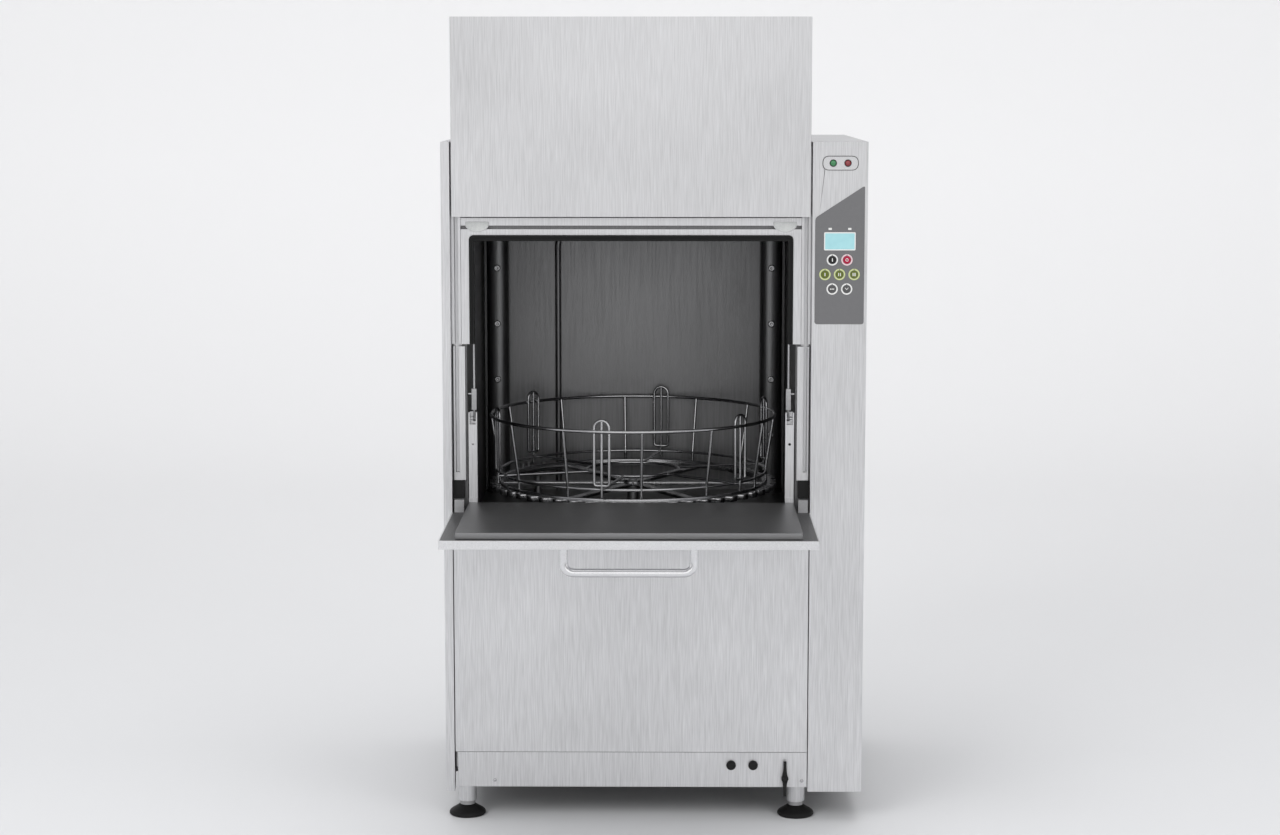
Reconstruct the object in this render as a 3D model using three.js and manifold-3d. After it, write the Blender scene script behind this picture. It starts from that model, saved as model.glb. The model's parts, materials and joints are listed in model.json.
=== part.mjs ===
// A front-loading granule pot washer: a stainless cabinet on four levelling feet, with a door in
// two halves. The upper half slides up its rails while the lower half folds down as a table.
// Millimetres, +Z up, front towards -Y, origin on the floor under the middle of the whole outline.
import * as THREE from 'three';
import { mergeVertices } from 'three/addons/utils/BufferGeometryUtils.js';
import Module from 'manifold-3d';

const wasm = await Module();
wasm.setup();

// ---------------------------------------------------------------- driving dimensions
const FIT = 0.3; // gap between two parts that touch
const SHEET = 1.5; // casing sheet
const CHAMBER_SHEET = 2; // wash chamber and tank sheet

const MACHINE_WIDTH = 1020;
const BODY_DEPTH = 826;
const CASING_TOP = 1664;
const CASING_BOTTOM = 74;
const SIDE_PANEL_WIDTH = 21;
const COLUMN_WIDTH = 132;
const SIDE_RETURN_DEPTH = 60;
const ROOF_SKIRT = 24;
const ROOF_SETBACK = 10; // behind the upper door
const ROD_SLOT_GAP = 4;
const VENTS = { rows: 6, pitch: 22, height: 8, left: -260, right: -100, bottom: 560 };
const REAR_COVER_RIB = 12;

const FOOT_RADIUS = 45;
const FOOT_HEIGHT = 36;
const LEG_RADIUS = 21.5;
const LEG_SETBACK = 60;
const LEG_INSET = 2.7; // inside the front panels' ends
const STEM_RADIUS = 8;
const STEM_LENGTH = 40;
const FRAME_TUBE = 45;
const FRAME_SIDE_GAP = 3.5;
const TOP_RAIL = 30;
const FRAME_BOTTOM = 132;

const KICK_BOTTOM = 85;
const KICK_HEIGHT = 87;
const KICK_SETBACK = 3;
const PANEL_GAP = 1.7;
const KICK_GAP = 1.5;
const KICK_LIP = 8;
const KICK_NOTCH = { width: 6, height: 49 };
const VALVE_HOLE_RADIUS = 7;
const PANEL_RETURN = 14;

const FLOOR_TOP = 700; // top of the wash chamber's floor
const CHAMBER_HALF_WIDTH = 406.5;
const CHAMBER_CEILING = 1450;
const CHAMBER_BACK = 800;
const SILL_HEIGHT = 28;
const SILL_SETBACK = 20;
const SILL_END_GAP = 8;
const FLANGE_GAP = 3; // between the chamber's front flange and the crank arms
const FLANGE_RISE = 15; // above the underside of the header

const HINGE_HEIGHT = 763;
const DOOR_SKIN_DROP = 8.4; // hinge axis to the lower door's outer skin
const FLAP_REACH = 429.4; // hinge axis to the lower door's lip
const FLAP_TAIL = 7; // hinge axis to the lower door's back edge
const FLAP_THICKNESS = 20.6;
const FLAP_SIDE_GAP = 2;
const FLAP_FLANGE = 34;
const CORNER_GAP = 3.5; // between the lower door's notched corners and the crank arms
const LINER_HALF_WIDTH = 395;
const LINER_REACH = 408.4;
const LINER_TAIL = 18;
const LINER_HEIGHT = 14.3;
const HANDLE_HALF_WIDTH = 149;
const HANDLE_DROP = 56;
const HANDLE_RADIUS = 10;
const HANDLE_BEND = 42;
const HANDLE_INSET = 16;

const DOOR_LIFT = 290.5;
const DOOR_MEETING_GAP = 2.1;
const UPPER_DOOR_HEIGHT = 473.5;
const UPPER_DOOR_THICKNESS = 20;
const UPPER_DOOR_SIDE_GAP = 4;

const RAIL_FRONT = 26;
const RAIL_DEPTH = 20;
const RAIL_WIDTH = 23.2;
const RAIL_BREAK = 1177; // the lower length of each rail ends just under this height
const RAIL_BREAK_GAP = 5;
const RAIL_TOP = 1650;
const GROOVE_WIDTH = 8;
const GROOVE_DEPTH = 14;
const LOWER_RAIL_INNER = 401.5;
const LOWER_RAIL_STEP = 2.7;
const GROOVE_START = 20; // above the foot of the rail
const END_BLOCK_HEIGHT = 43.7;
const END_BLOCK_PROUD = 2;

const GASKET_HALF_WIDTH = 390;
const GASKET_STRIP = 12;
const GASKET_TOP_STRIP = 16;
const GASKET_TOP = 1440;
const GASKET_BEND = 12;
const GASKET_MITRE = 4;
const GASKET_FRONT = 21.6;
const GASKET_BACK = 38;
const FRAME_FRONT = 28;
const FRAME_TOP_BAND = 14.4;
const HEADER_BOTTOM = 1463;
const HEADER_HEIGHT = 18.7;
const HEADER_TAB = { offset: 370, halfWidth: 28, rise: 6, shoulder: 2, drop: 17 };
const HEADER_TAB_FOOT = { halfWidth: 20, low: 1, high: 5 };
const ROD_BACK_GAP = 3; // between the parts of the door frame and a lift rod

const PIVOT_SETBACK = 46; // crank-arm pivot behind the front plane
const ARM_OUTER = 395.5;
const ARM_WIDTH = 21;
const ARM_DEPTH = 21;
const CHEEK = 3.3;
const CLEVIS_BELOW = 14;
const CLEVIS_ABOVE = 16;
const ARM_PLATE = 4;
const ARM_FOOT_LENGTH = 38;
const ARM_COLLAR = 10; // above the lower door's inner face
const ADJUSTER = { radius: 2.5, depth: 8, drop: 62 };
const HINGE_PIN_RADIUS = 5;
const PIVOT_PIN_RADIUS = 3;
const PIN_CLEARANCE = 0.3;
const BRACKET_OUTER = 428.5;
const BRACKET_INNER = 405.5;
const BRACKET_REACH = 37;
const BRACKET_FRONT = 6.4; // in front of the hinge axis
const BRACKET_BACK = 14.6;
const BRACKET_BELOW = 3;
const BRACKET_STRAP = 17; // foot of the strap above the hinge axis
const ROD_LENGTH = 860; // between the two pivots of a lift rod
const ROD_RADIUS = 3.25;
const ROD_OFFSET = 381.6;
const ROD_EYE_RADIUS = 6.7;
const ROD_BLOCK = 12.5;
const ROD_BLOCK_START = 21;
const ROD_BLOCK_LENGTH = 52;
const ROD_STUD = { radius: 2.5, length: 8, drop: 13 };
const ROD_HOLE_RADIUS = 4;
const LUG_THICKNESS = 4;
const LUG_TIP = 8; // half height of the lug's end, and its reach past the bolt
const LUG_ROOT = 22;
const LUG_BOLT_RADIUS = 7;
const DOOR_GUIDE = { bottoms: [18, 140], height: 30, halfWidth: 2.5, clearance: 2 };
const DOOR_STIFFENER = { inset: 60, halfHeight: 10 };

const RING_RADIUS = 370; // over the turntable's teeth
const RING_PITCH_RADIUS = 366;
const RING_TEETH = 54;
const NOTCH_RADIUS = 11;
const RING_INNER_RADIUS = 334;
const RING_LIP = 18;
const RING_LIP_HEIGHT = 5;
const RING_HEIGHT = 18;
const RING_TOP = 790.5;
const RING_FRONT = 46; // ring's foremost point behind the front plane
const PINION_PINS = 6;
const PINION_PIN_RADIUS = 6;
const PINION_PIN_TOP = 10; // below the turntable's top
const PINION_FLANGE = { margin: 4, low: 14, high: 4 };
const PINION_SHAFT_RADIUS = 9;
const PINION_BEARING = 50; // degrees round from the ring's left side towards the back
const SPOKE_HALF_WIDTH = 12;
const SPOKE_HEIGHT = 8;
const HUB = { radius: 26, low: 8, high: 14 };
const SPINDLE_RADIUS = 15;
const SPINDLE_PIN_RADIUS = 10;
const SPINDLE_PIN_LENGTH = 24;
const SPINDLE_FLANGE_HEIGHT = 6;

const BASKET_RADIUS = 365;
const BASKET_BASE_RADIUS = 343;
const BASKET_HEIGHT = 168;
const BASKET_LIFT = 22; // base ring above the turntable
const BASKET_WIRE = 3.6;
const BASKET_RIM_WIRE = 4.2;
const BASKET_BAYS = 6;
const BASKET_TURN = -11.6;
const HAIRPIN_HALF_WIDTH = 19;
const HAIRPIN_RISE = 27;
const HAIRPIN_INSET = 5;
const HAIRPIN_FOOT = 12;
const STAY_ANGLE = 15.7;
const BASKET_HUB_RADIUS = 120;

const PIPE_RADIUS = 30;
const PIPE_OFFSET = 368;
const PIPE_SETBACK = 760;
const RINSE_PIPE_RADIUS = 8;
const RINSE_PIPE_OFFSET = -207.6;
const RINSE_PIPE_DROP = 30; // below the ceiling, and the bend's reach
const NOZZLES = { count: 4, radius: 9, start: 70, pitch: 150, reach: 8, inset: 6 };
const STRAINER_MARGIN = 14;
const STRAINER_BORDER = 10;
const STRAINER_SLOTS = 7;

const TANK_HALF_WIDTH = 215;
const TANK_FRONT = 200;
const TANK_BACK = 640;
const TANK_BOTTOM = 330;
const FLOOR_OPENING = { inner: 40, outer: 200, front: 256, back: 576 };
const PUMP = {
  offset: 110, setback: 90, height: 95, volute: 82, motor: 62, motorLength: 210, pipe: 20,
  pipeRise: 30, footThickness: 12, footFront: 60, footBack: 180,
};
const HEATER = { radius: 66, halfLength: 190, setback: 78, clearance: 60, footOffset: 120 };
const GEARBOX = { half: 38, depth: 60, motorRadius: 32, length: 150, boreDepth: 30 };
const CONTROL_BOX = { depth: 60, rise: 60, bottom: 8, wingFront: 10, wingBack: 50, wingBottom: 20 };

const OVERLAY_WIDTH = 118;
const OVERLAY_BOTTOM = 1228.5;
const OVERLAY_LEFT_HEIGHT = 257.5;
const OVERLAY_RIGHT_HEIGHT = 334.5;
const OVERLAY_THICKNESS = 1.5;
const OVERLAY_CORNER = 7;
const KEY_RADIUS = 14.3;
const KEY_PITCH = 34.9;
const KEY_ROW_PITCH = 34.9;
const KEY_TOP_ROW = 1383;
const KEY_PROUD = 2.6;
const KEY_STEM_RADIUS = 4;
const KEY_TRAVEL = 1;
const KEY_STEM_LENGTH = 2.2; // behind the casing sheet
const KEY_BACK_GAP = 2.5; // from the casing sheet to the control box, plus the travel
const DISPLAY = { width: 76, height: 44, bottom: 1405.5 };
const INDICATOR = { width: 86, height: 34.5, middle: 1613.5, spacing: 35 };
const LAMP_RADIUS = 9;
const LAMP_DEPTH = 22;
const INDICATOR_THICKNESS = 1.2;

const PLUG_RADIUS = 11.7;
const PLUG_OFFSETS = [245.5, 299.5];
const PLUG_HEIGHT = 140.7;
const PLUG_STUD_SCALE = 0.6;
const PLUG_GRIP_SCALE = 0.8;
const PLUG_KNURLS = 10;
const VALVE_OFFSET = 377.5;
const VALVE_HEIGHT = 109;
const LEVER_LENGTH = 94;
const LEVER_WIDTH = 14;
const VALVE_RADIUS = 14;
const DRAIN_PIPE = { radius: 10, bend: 30, inset: 60 };

// ---------------------------------------------------------------- values that follow
const sidePanelFace = -MACHINE_WIDTH / 2 + SIDE_PANEL_WIDTH;
const columnFace = MACHINE_WIDTH / 2 - COLUMN_WIDTH;
const columnCentre = MACHINE_WIDTH / 2 - COLUMN_WIDTH / 2;
const bayCentre = (sidePanelFace + columnFace) / 2;
const bayHalf = (columnFace - sidePanelFace) / 2;
const hinge = { y: DOOR_SKIN_DROP, z: HINGE_HEIGHT };
const lipFront = hinge.y - FLAP_REACH;
const flapHalf = bayHalf - FLAP_SIDE_GAP;
const flapTop = FLAP_THICKNESS - DOOR_SKIN_DROP;
const linerTop = flapTop + FIT + LINER_HEIGHT;
const panelTop = hinge.z - Math.hypot(FLAP_TAIL, DOOR_SKIN_DROP) - PANEL_GAP;
const kickTop = KICK_BOTTOM + KICK_HEIGHT;
const upperDoorBottom = hinge.z + FLAP_REACH + DOOR_MEETING_GAP + DOOR_LIFT;
const frameOuter = bayHalf - FIT - RAIL_WIDTH;
const flangeFront = RAIL_FRONT + RAIL_DEPTH + FIT;
const frameTop = GASKET_TOP + FRAME_TOP_BAND;
const upperRailTop = FLOOR_TOP - CHAMBER_SHEET - FIT;
const tableCentreY = RING_FRONT + RING_RADIUS;
const ringBottom = RING_TOP - RING_HEIGHT;
const legX = flapHalf - LEG_RADIUS - LEG_INSET;
const legBackY = BODY_DEPTH - LEG_SETBACK;
const frameSide = bayHalf - FRAME_SIDE_GAP;
const endBlockBottom = hinge.z + BRACKET_REACH + FIT;
const lowerRailBottom = endBlockBottom + END_BLOCK_HEIGHT + FIT;
const rodFrontGap = PIVOT_SETBACK - ROD_RADIUS - ROD_BACK_GAP;
const keyBack = SHEET + KEY_TRAVEL + KEY_BACK_GAP;
const keypad = {
  left: columnCentre - OVERLAY_WIDTH / 2 + OVERLAY_CORNER,
  right: columnCentre + OVERLAY_WIDTH / 2 - OVERLAY_CORNER,
  bottom: KEY_TOP_ROW - 2 * KEY_ROW_PITCH - KEY_RADIUS - OVERLAY_CORNER,
  top: DISPLAY.bottom + DISPLAY.height + OVERLAY_CORNER,
};

// The ring and the pinion share one tooth pitch, so their pitch radii go with their tooth counts.
const pinionPitchRadius = RING_PITCH_RADIUS * PINION_PINS / RING_TEETH;
const pinionDistance = RING_PITCH_RADIUS + pinionPitchRadius;
const pinionAngle = THREE.MathUtils.degToRad(180 - PINION_BEARING);
const pinion = {
  x: pinionDistance * Math.cos(pinionAngle),
  y: tableCentreY + pinionDistance * Math.sin(pinionAngle),
};

// The crank arm and the lift rod close a four-bar loop: with the door down the rod stands
// upright, and with the door up the rod's top has come down by the door's lift.
const pivotBack = PIVOT_SETBACK - hinge.y;
const liftSpan = DOOR_LIFT - 2 * pivotBack;
const rodSum = liftSpan + ROD_LENGTH;
const rodSlack = (rodSum - Math.sqrt(rodSum ** 2 - 2 * liftSpan ** 2)) / 2;
const pivotUp = DOOR_LIFT - pivotBack - rodSlack;
const rodShift = pivotUp - pivotBack;
const closedTilt = Math.asin(rodShift / ROD_LENGTH);
const upperPivotZ = hinge.z + pivotUp + ROD_LENGTH;

/** Furthest back that a lift rod reaches at one height while the doors move. */
function rodReach(height) {
  let reach = PIVOT_SETBACK;
  for (let degree = 0; degree <= 90; degree += 1) {
    const turn = THREE.MathUtils.degToRad(degree);
    const tilt = closedTilt * degree / 90;
    const footY = hinge.y + pivotBack * Math.cos(turn) + pivotUp * Math.sin(turn);
    const footZ = hinge.z - pivotBack * Math.sin(turn) + pivotUp * Math.cos(turn);
    if (footZ + ROD_LENGTH * Math.cos(tilt) >= height) {
      reach = Math.max(reach, footY - (height - footZ) * Math.tan(tilt));
    }
  }
  return reach + ROD_EYE_RADIUS + ROD_BLOCK;
}

// ---------------------------------------------------------------- materials
function finish(color, roughness, metalness) {
  return new THREE.MeshStandardMaterial({ color, roughness, metalness });
}
const brushed = finish(0xc9cacc, 0.35, 0.9);
const chamberSteel = finish(0x8f9193, 0.4, 0.9);
const wireSteel = finish(0xb4b6b8, 0.25, 1);
const darkSteel = finish(0x5b5d60, 0.45, 0.8);
const blackRubber = finish(0x151515, 0.8, 0);
const blackPlastic = finish(0x1b1b1c, 0.5, 0);
const greyPlastic = finish(0x757577, 0.5, 0);
const castGrey = finish(0x8c8e90, 0.55, 0.6);
const paintedGrey = finish(0x6f7478, 0.5, 0.3);
const paleCyan = finish(0xc0e3e8, 0.2, 0);
const greenLens = finish(0x0c9a4c, 0.2, 0);
const redLens = finish(0xd4142c, 0.2, 0);
const oliveKey = finish(0x6f7d2f, 0.5, 0);
const redKey = finish(0xa32440, 0.5, 0);

// ---------------------------------------------------------------- solids
/** Turns a closed three.js geometry into a solid that can be joined and cut. */
function solid(geometry) {
  geometry.deleteAttribute('normal');
  geometry.deleteAttribute('uv');
  const welded = mergeVertices(geometry, 1e-4);
  return new wasm.Manifold(new wasm.Mesh({
    numProp: 3,
    vertProperties: Float32Array.from(welded.attributes.position.array),
    triVerts: Uint32Array.from(welded.index.array),
  }));
}

function box(x0, x1, y0, y1, z0, z1) {
  const geometry = new THREE.BoxGeometry(x1 - x0, y1 - y0, z1 - z0);
  return solid(geometry.translate((x0 + x1) / 2, (y0 + y1) / 2, (z0 + z1) / 2));
}

/** A round bar along one axis, from one end to the other. */
function bar(axis, radius, from, to, a, b, sides = 24) {
  const geometry = new THREE.CylinderGeometry(radius, radius, to - from, sides);
  const middle = (from + to) / 2;
  if (axis === 'x') return solid(geometry.rotateZ(Math.PI / 2).translate(middle, a, b));
  if (axis === 'y') return solid(geometry.translate(a, middle, b));
  return solid(geometry.rotateX(Math.PI / 2).translate(a, b, middle));
}

function union(...solids) {
  return solids.reduce((whole, next) => whole.add(next));
}

function cut(whole, ...tools) {
  return tools.reduce((rest, tool) => rest.subtract(tool), whole);
}

/** A box with an inner box taken out of it. */
function shell(outer, inner) {
  return box(...outer).subtract(box(...inner));
}

/** An outline in Y and Z, given as points, made as thick as its stretch of X. */
function sidePlate(outline, x0, x1) {
  const shape = new THREE.Shape(outline.map(([y, z]) => new THREE.Vector2(y, z)));
  const geometry = new THREE.ExtrudeGeometry(shape, { depth: x1 - x0, bevelEnabled: false });
  geometry.rotateY(Math.PI / 2).rotateX(Math.PI / 2);
  return solid(geometry.translate(x0, 0, 0));
}

/** A shape drawn in X and Z, made as thick as its stretch of Y. */
function frontPlate(shape, y0, y1, curveSegments = 6) {
  const geometry = new THREE.ExtrudeGeometry(shape, {
    depth: y1 - y0, bevelEnabled: false, curveSegments,
  });
  return solid(geometry.rotateX(Math.PI / 2).translate(0, y1, 0));
}

/** A shape drawn in X and Y, made as thick as its stretch of Z. */
function flatPlate(shape, z0, z1, curveSegments = 12) {
  const geometry = new THREE.ExtrudeGeometry(shape, {
    depth: z1 - z0, bevelEnabled: false, curveSegments,
  });
  return solid(geometry.translate(0, 0, z0));
}

/** The same part on the other side of the bay's centre. */
function mirrored(part) {
  return part.mirror([1, 0, 0]);
}

function roundedRectangle(x0, x1, z0, z1, radius) {
  const shape = new THREE.Shape();
  shape.moveTo(x0 + radius, z0);
  shape.lineTo(x1 - radius, z0);
  shape.absarc(x1 - radius, z0 + radius, radius, -Math.PI / 2, 0);
  shape.absarc(x1 - radius, z1 - radius, radius, 0, Math.PI / 2);
  shape.absarc(x0 + radius, z1 - radius, radius, Math.PI / 2, Math.PI);
  shape.absarc(x0 + radius, z0 + radius, radius, Math.PI, Math.PI * 1.5);
  return shape;
}

/** The centre line of a bent bar: straight runs joined by round bends. */
class BentLine extends THREE.Curve {
  constructor(corners, bend, stepsPerBend = 4) {
    super();
    this.knots = [corners[0]];
    for (let i = 1; i < corners.length - 1; i += 1) {
      const corner = corners[i];
      const before = corners[i - 1].clone().sub(corner);
      const after = corners[i + 1].clone().sub(corner);
      const reach = Math.min(bend, before.length() * 0.49, after.length() * 0.49);
      const start = corner.clone().add(before.setLength(reach));
      const end = corner.clone().add(after.setLength(reach));
      const arc = new THREE.QuadraticBezierCurve3(start, corner, end);
      this.knots.push(...arc.getPoints(stepsPerBend));
    }
    this.knots.push(corners[corners.length - 1]);
  }

  getUtoTmapping(u) {
    return u;
  }

  getPoint(t, target = new THREE.Vector3()) {
    const place = t * (this.knots.length - 1);
    const index = Math.min(Math.floor(place), this.knots.length - 2);
    return target.lerpVectors(this.knots[index], this.knots[index + 1], place - index);
  }
}

/** A bar of round section bent along corner points. */
function bentBar(points, radius, bend, sides = 8, stepsPerBend = 4) {
  const line = new BentLine(points.map((point) => new THREE.Vector3(...point)), bend, stepsPerBend);
  const section = new THREE.Shape();
  for (let i = 0; i < sides; i += 1) {
    const angle = (i / sides) * Math.PI * 2;
    const point = [radius * Math.cos(angle), radius * Math.sin(angle)];
    if (i === 0) section.moveTo(...point);
    else section.lineTo(...point);
  }
  return solid(new THREE.ExtrudeGeometry(section, {
    steps: line.knots.length - 1, extrudePath: line, bevelEnabled: false,
  }));
}

/** A turned part: radius and height pairs from the axis round to the axis again. */
function turned(profile, segments = 20) {
  const points = profile.map(([radius, height]) => new THREE.Vector2(radius, height));
  return solid(new THREE.LatheGeometry(points, segments).rotateX(Math.PI / 2));
}

/** A wire ring lying flat. */
function wireRing(radius, wire, z, segments = 36, sides = 5) {
  return solid(new THREE.TorusGeometry(radius, wire, sides, segments).translate(0, 0, z));
}

/** Makes the finished mesh of a part and hangs it in a group. */
function place(group, name, part, material) {
  const { vertProperties, triVerts } = part.getMesh();
  const geometry = new THREE.BufferGeometry();
  const points = Float32Array.from(vertProperties);
  geometry.setAttribute('position', new THREE.BufferAttribute(points, 3));
  geometry.setIndex(new THREE.BufferAttribute(Uint32Array.from(triVerts), 1));
  geometry.computeVertexNormals();
  const mesh = new THREE.Mesh(geometry, material);
  mesh.name = name;
  group.add(mesh);
  return mesh;
}

/** Places a part that is drawn on the left, and its mirror image on the right. */
function placePair(group, name, part, material) {
  place(group, `left_${name}`, part, material);
  place(group, `right_${name}`, mirrored(part), material);
}

// ---------------------------------------------------------------- groups
const machine = new THREE.Group();
const bay = new THREE.Group(); // everything between the side panel and the column
bay.position.x = bayCentre;
const lowerDoor = new THREE.Group(); // drawn from the hinge axis
lowerDoor.position.set(0, hinge.y, hinge.z);
const upperDoor = new THREE.Group(); // drawn from its bottom edge
upperDoor.position.z = upperDoorBottom;
const table = new THREE.Group(); // drawn from the turntable's centre
table.position.y = tableCentreY;
bay.add(lowerDoor, upperDoor, table);
machine.add(bay);

// ---------------------------------------------------------------- cabinet
function leftSidePanel() {
  const left = -MACHINE_WIDTH / 2;
  const tray = shell(
    [left, sidePanelFace, 0, BODY_DEPTH, CASING_BOTTOM, CASING_TOP],
    [left + SHEET, sidePanelFace - SHEET, SHEET, BODY_DEPTH - SHEET,
      CASING_BOTTOM + SHEET, CASING_TOP - SHEET],
  );
  return cut(tray, box(
    sidePanelFace - 2 * SHEET, sidePanelFace + SHEET, SIDE_RETURN_DEPTH,
    BODY_DEPTH - SIDE_RETURN_DEPTH, CASING_BOTTOM + SIDE_RETURN_DEPTH,
    CASING_TOP - SIDE_RETURN_DEPTH,
  ));
}

function indicatorOutline(grow) {
  const half = INDICATOR.width / 2 + grow;
  const low = INDICATOR.middle - INDICATOR.height / 2 - grow;
  const high = INDICATOR.middle + INDICATOR.height / 2 + grow;
  return roundedRectangle(columnCentre - half, columnCentre + half, low, high, (high - low) / 2);
}

function columnCasing() {
  const right = MACHINE_WIDTH / 2;
  const casing = shell(
    [columnFace, right, 0, BODY_DEPTH - SHEET - FIT, CASING_BOTTOM, CASING_TOP],
    [columnFace + SHEET, right - SHEET, SHEET, BODY_DEPTH + 1, CASING_BOTTOM - 1,
      CASING_TOP - SHEET],
  );
  return cut(
    casing,
    box(keypad.left, keypad.right, -1, SHEET + 1, keypad.bottom, keypad.top),
    frontPlate(indicatorOutline(-INDICATOR.height / 5), -1, SHEET + 1, 4),
  );
}

function columnRearCover() {
  const back = BODY_DEPTH;
  const cover = box(columnFace, MACHINE_WIDTH / 2, back - SHEET, back, CASING_BOTTOM, CASING_TOP);
  const rib = box(
    columnFace + SHEET + FIT, MACHINE_WIDTH / 2 - SHEET - FIT,
    back - SHEET - REAR_COVER_RIB, back - SHEET,
    CASING_TOP - SHEET - FIT - SHEET, CASING_TOP - SHEET - FIT,
  );
  return cover.add(rib);
}

function controlBox() {
  const { depth, rise, bottom, wingFront, wingBack, wingBottom } = CONTROL_BOX;
  return union(
    box(keypad.left, keypad.right, keyBack, keyBack + depth,
      OVERLAY_BOTTOM + bottom, keypad.top + rise),
    box(columnFace + SHEET + FIT, keypad.left, keyBack + wingFront, keyBack + wingBack,
      OVERLAY_BOTTOM + wingBottom, keypad.top),
  );
}

function roofPanel() {
  const half = bayHalf - FIT;
  const front = UPPER_DOOR_THICKNESS + ROOF_SETBACK;
  const back = BODY_DEPTH - SHEET - FIT;
  const low = CASING_TOP - ROOF_SKIRT;
  const skirtTop = CASING_TOP - SHEET / 2;
  const skirtHalf = ARM_OUTER - ARM_WIDTH - ROD_SLOT_GAP;
  const roof = union(
    box(-half, half, front, back, CASING_TOP - SHEET, CASING_TOP),
    box(-skirtHalf, skirtHalf, front, front + SHEET, low, skirtTop),
    box(-half, half, back - SHEET, back, low, skirtTop),
  );
  const slot = box(
    -ARM_OUTER - FLANGE_GAP, ROD_RADIUS + ROD_SLOT_GAP - ROD_OFFSET, front - 1,
    rodReach(CASING_TOP), low - 1, CASING_TOP + 1,
  );
  return cut(roof, slot, mirrored(slot));
}

function rearPanel() {
  const half = bayHalf - FIT;
  const back = BODY_DEPTH;
  const panel = box(-half, half, back - SHEET, back, KICK_BOTTOM, CASING_TOP);
  const vents = [];
  for (let row = 0; row < VENTS.rows; row += 1) {
    const z = VENTS.bottom + row * VENTS.pitch;
    vents.push(box(VENTS.left, VENTS.right, back - SHEET - 1, back + 1, z, z + VENTS.height));
  }
  return cut(panel, ...vents);
}

// ---------------------------------------------------------------- base
function baseFrame() {
  const bottom = FRAME_BOTTOM;
  const top = upperRailTop;
  const front = PANEL_RETURN + FIT;
  const back = CHAMBER_BACK + CHAMBER_SHEET;
  const inner = frameSide - FRAME_TUBE;
  const halves = [];
  for (const side of [-1, 1]) {
    const low = Math.min(side * frameSide, side * inner);
    const high = Math.max(side * frameSide, side * inner);
    const railLow = Math.min(side * frameSide, side * (frameSide - TOP_RAIL));
    const railHigh = Math.max(side * frameSide, side * (frameSide - TOP_RAIL));
    halves.push(
      box(low, high, front, front + FRAME_TUBE, bottom, top),
      box(low, high, back - FRAME_TUBE, back, bottom, top),
      box(low, high, front, back, bottom, bottom + FRAME_TUBE),
      box(railLow, railHigh, front, back, top - TOP_RAIL, top),
    );
    for (const y of [LEG_SETBACK, legBackY]) {
      const leg = bar('z', LEG_RADIUS, FOOT_HEIGHT + FIT, bottom + 1, side * legX, y, 14);
      const bore = bar('z', STEM_RADIUS + FIT, FOOT_HEIGHT - 1, FOOT_HEIGHT + STEM_LENGTH + 6,
        side * legX, y, 16);
      halves.push(leg.subtract(bore));
    }
  }
  return union(
    ...halves,
    box(-inner - 1, inner + 1, LEG_SETBACK - FRAME_TUBE / 2, LEG_SETBACK + FRAME_TUBE / 2,
      bottom, bottom + FRAME_TUBE),
    box(-inner - 1, inner + 1, back - FRAME_TUBE, back, bottom, bottom + FRAME_TUBE),
    box(-inner - 1, inner + 1, front, front + TOP_RAIL, top - TOP_RAIL, top),
    box(-inner - 1, inner + 1, back - TOP_RAIL, back, top - TOP_RAIL, top),
  );
}

function levellingFoot() {
  return turned([
    [0, 0], [FOOT_RADIUS - 3, 0], [FOOT_RADIUS, 3], [FOOT_RADIUS, 7], [FOOT_RADIUS - 5, 13],
    [FOOT_RADIUS - 18, 21], [LEG_RADIUS - 3, 27], [LEG_RADIUS - 3, FOOT_HEIGHT],
    [STEM_RADIUS, FOOT_HEIGHT], [STEM_RADIUS, FOOT_HEIGHT + STEM_LENGTH],
    [0, FOOT_HEIGHT + STEM_LENGTH],
  ], 16);
}

function lowerFrontPanel() {
  return shell(
    [-flapHalf, flapHalf, 0, PANEL_RETURN, kickTop + KICK_GAP, panelTop],
    [SHEET - flapHalf, flapHalf - SHEET, SHEET, PANEL_RETURN + 1,
      kickTop + KICK_GAP + SHEET, panelTop - SHEET],
  );
}

function kickPanel() {
  const y0 = KICK_SETBACK;
  const y1 = y0 + SHEET;
  const holes = PLUG_OFFSETS.map((x) => bar('y', PLUG_RADIUS * PLUG_STUD_SCALE, y0 - 1, y1 + 1,
    x, PLUG_HEIGHT, 16));
  return cut(
    union(
      box(-flapHalf, flapHalf, y0, y1, KICK_BOTTOM, kickTop),
      box(-flapHalf, flapHalf, y0, PANEL_RETURN, kickTop - SHEET, kickTop),
      box(-flapHalf, flapHalf, y0, y1 + KICK_LIP, KICK_BOTTOM, KICK_BOTTOM + SHEET),
    ),
    box(-flapHalf - 1, KICK_NOTCH.width - flapHalf, y0 - 1, LEG_SETBACK,
      kickTop - KICK_NOTCH.height, kickTop + 1),
    bar('y', VALVE_HOLE_RADIUS, y0 - 1, y1 + 1, VALVE_OFFSET, VALVE_HEIGHT, 16),
    ...holes,
  );
}

function servicePlug() {
  const collar = KICK_SETBACK - FIT;
  return union(
    bar('y', PLUG_RADIUS, collar - 3, collar, 0, 0, 20),
    bar('y', PLUG_RADIUS * PLUG_GRIP_SCALE, collar - 11, collar - 2, 0, 0, PLUG_KNURLS),
    bar('y', PLUG_RADIUS * PLUG_STUD_SCALE - FIT, collar - 1, KICK_SETBACK + 10, 0, 0, 12),
  );
}

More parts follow.
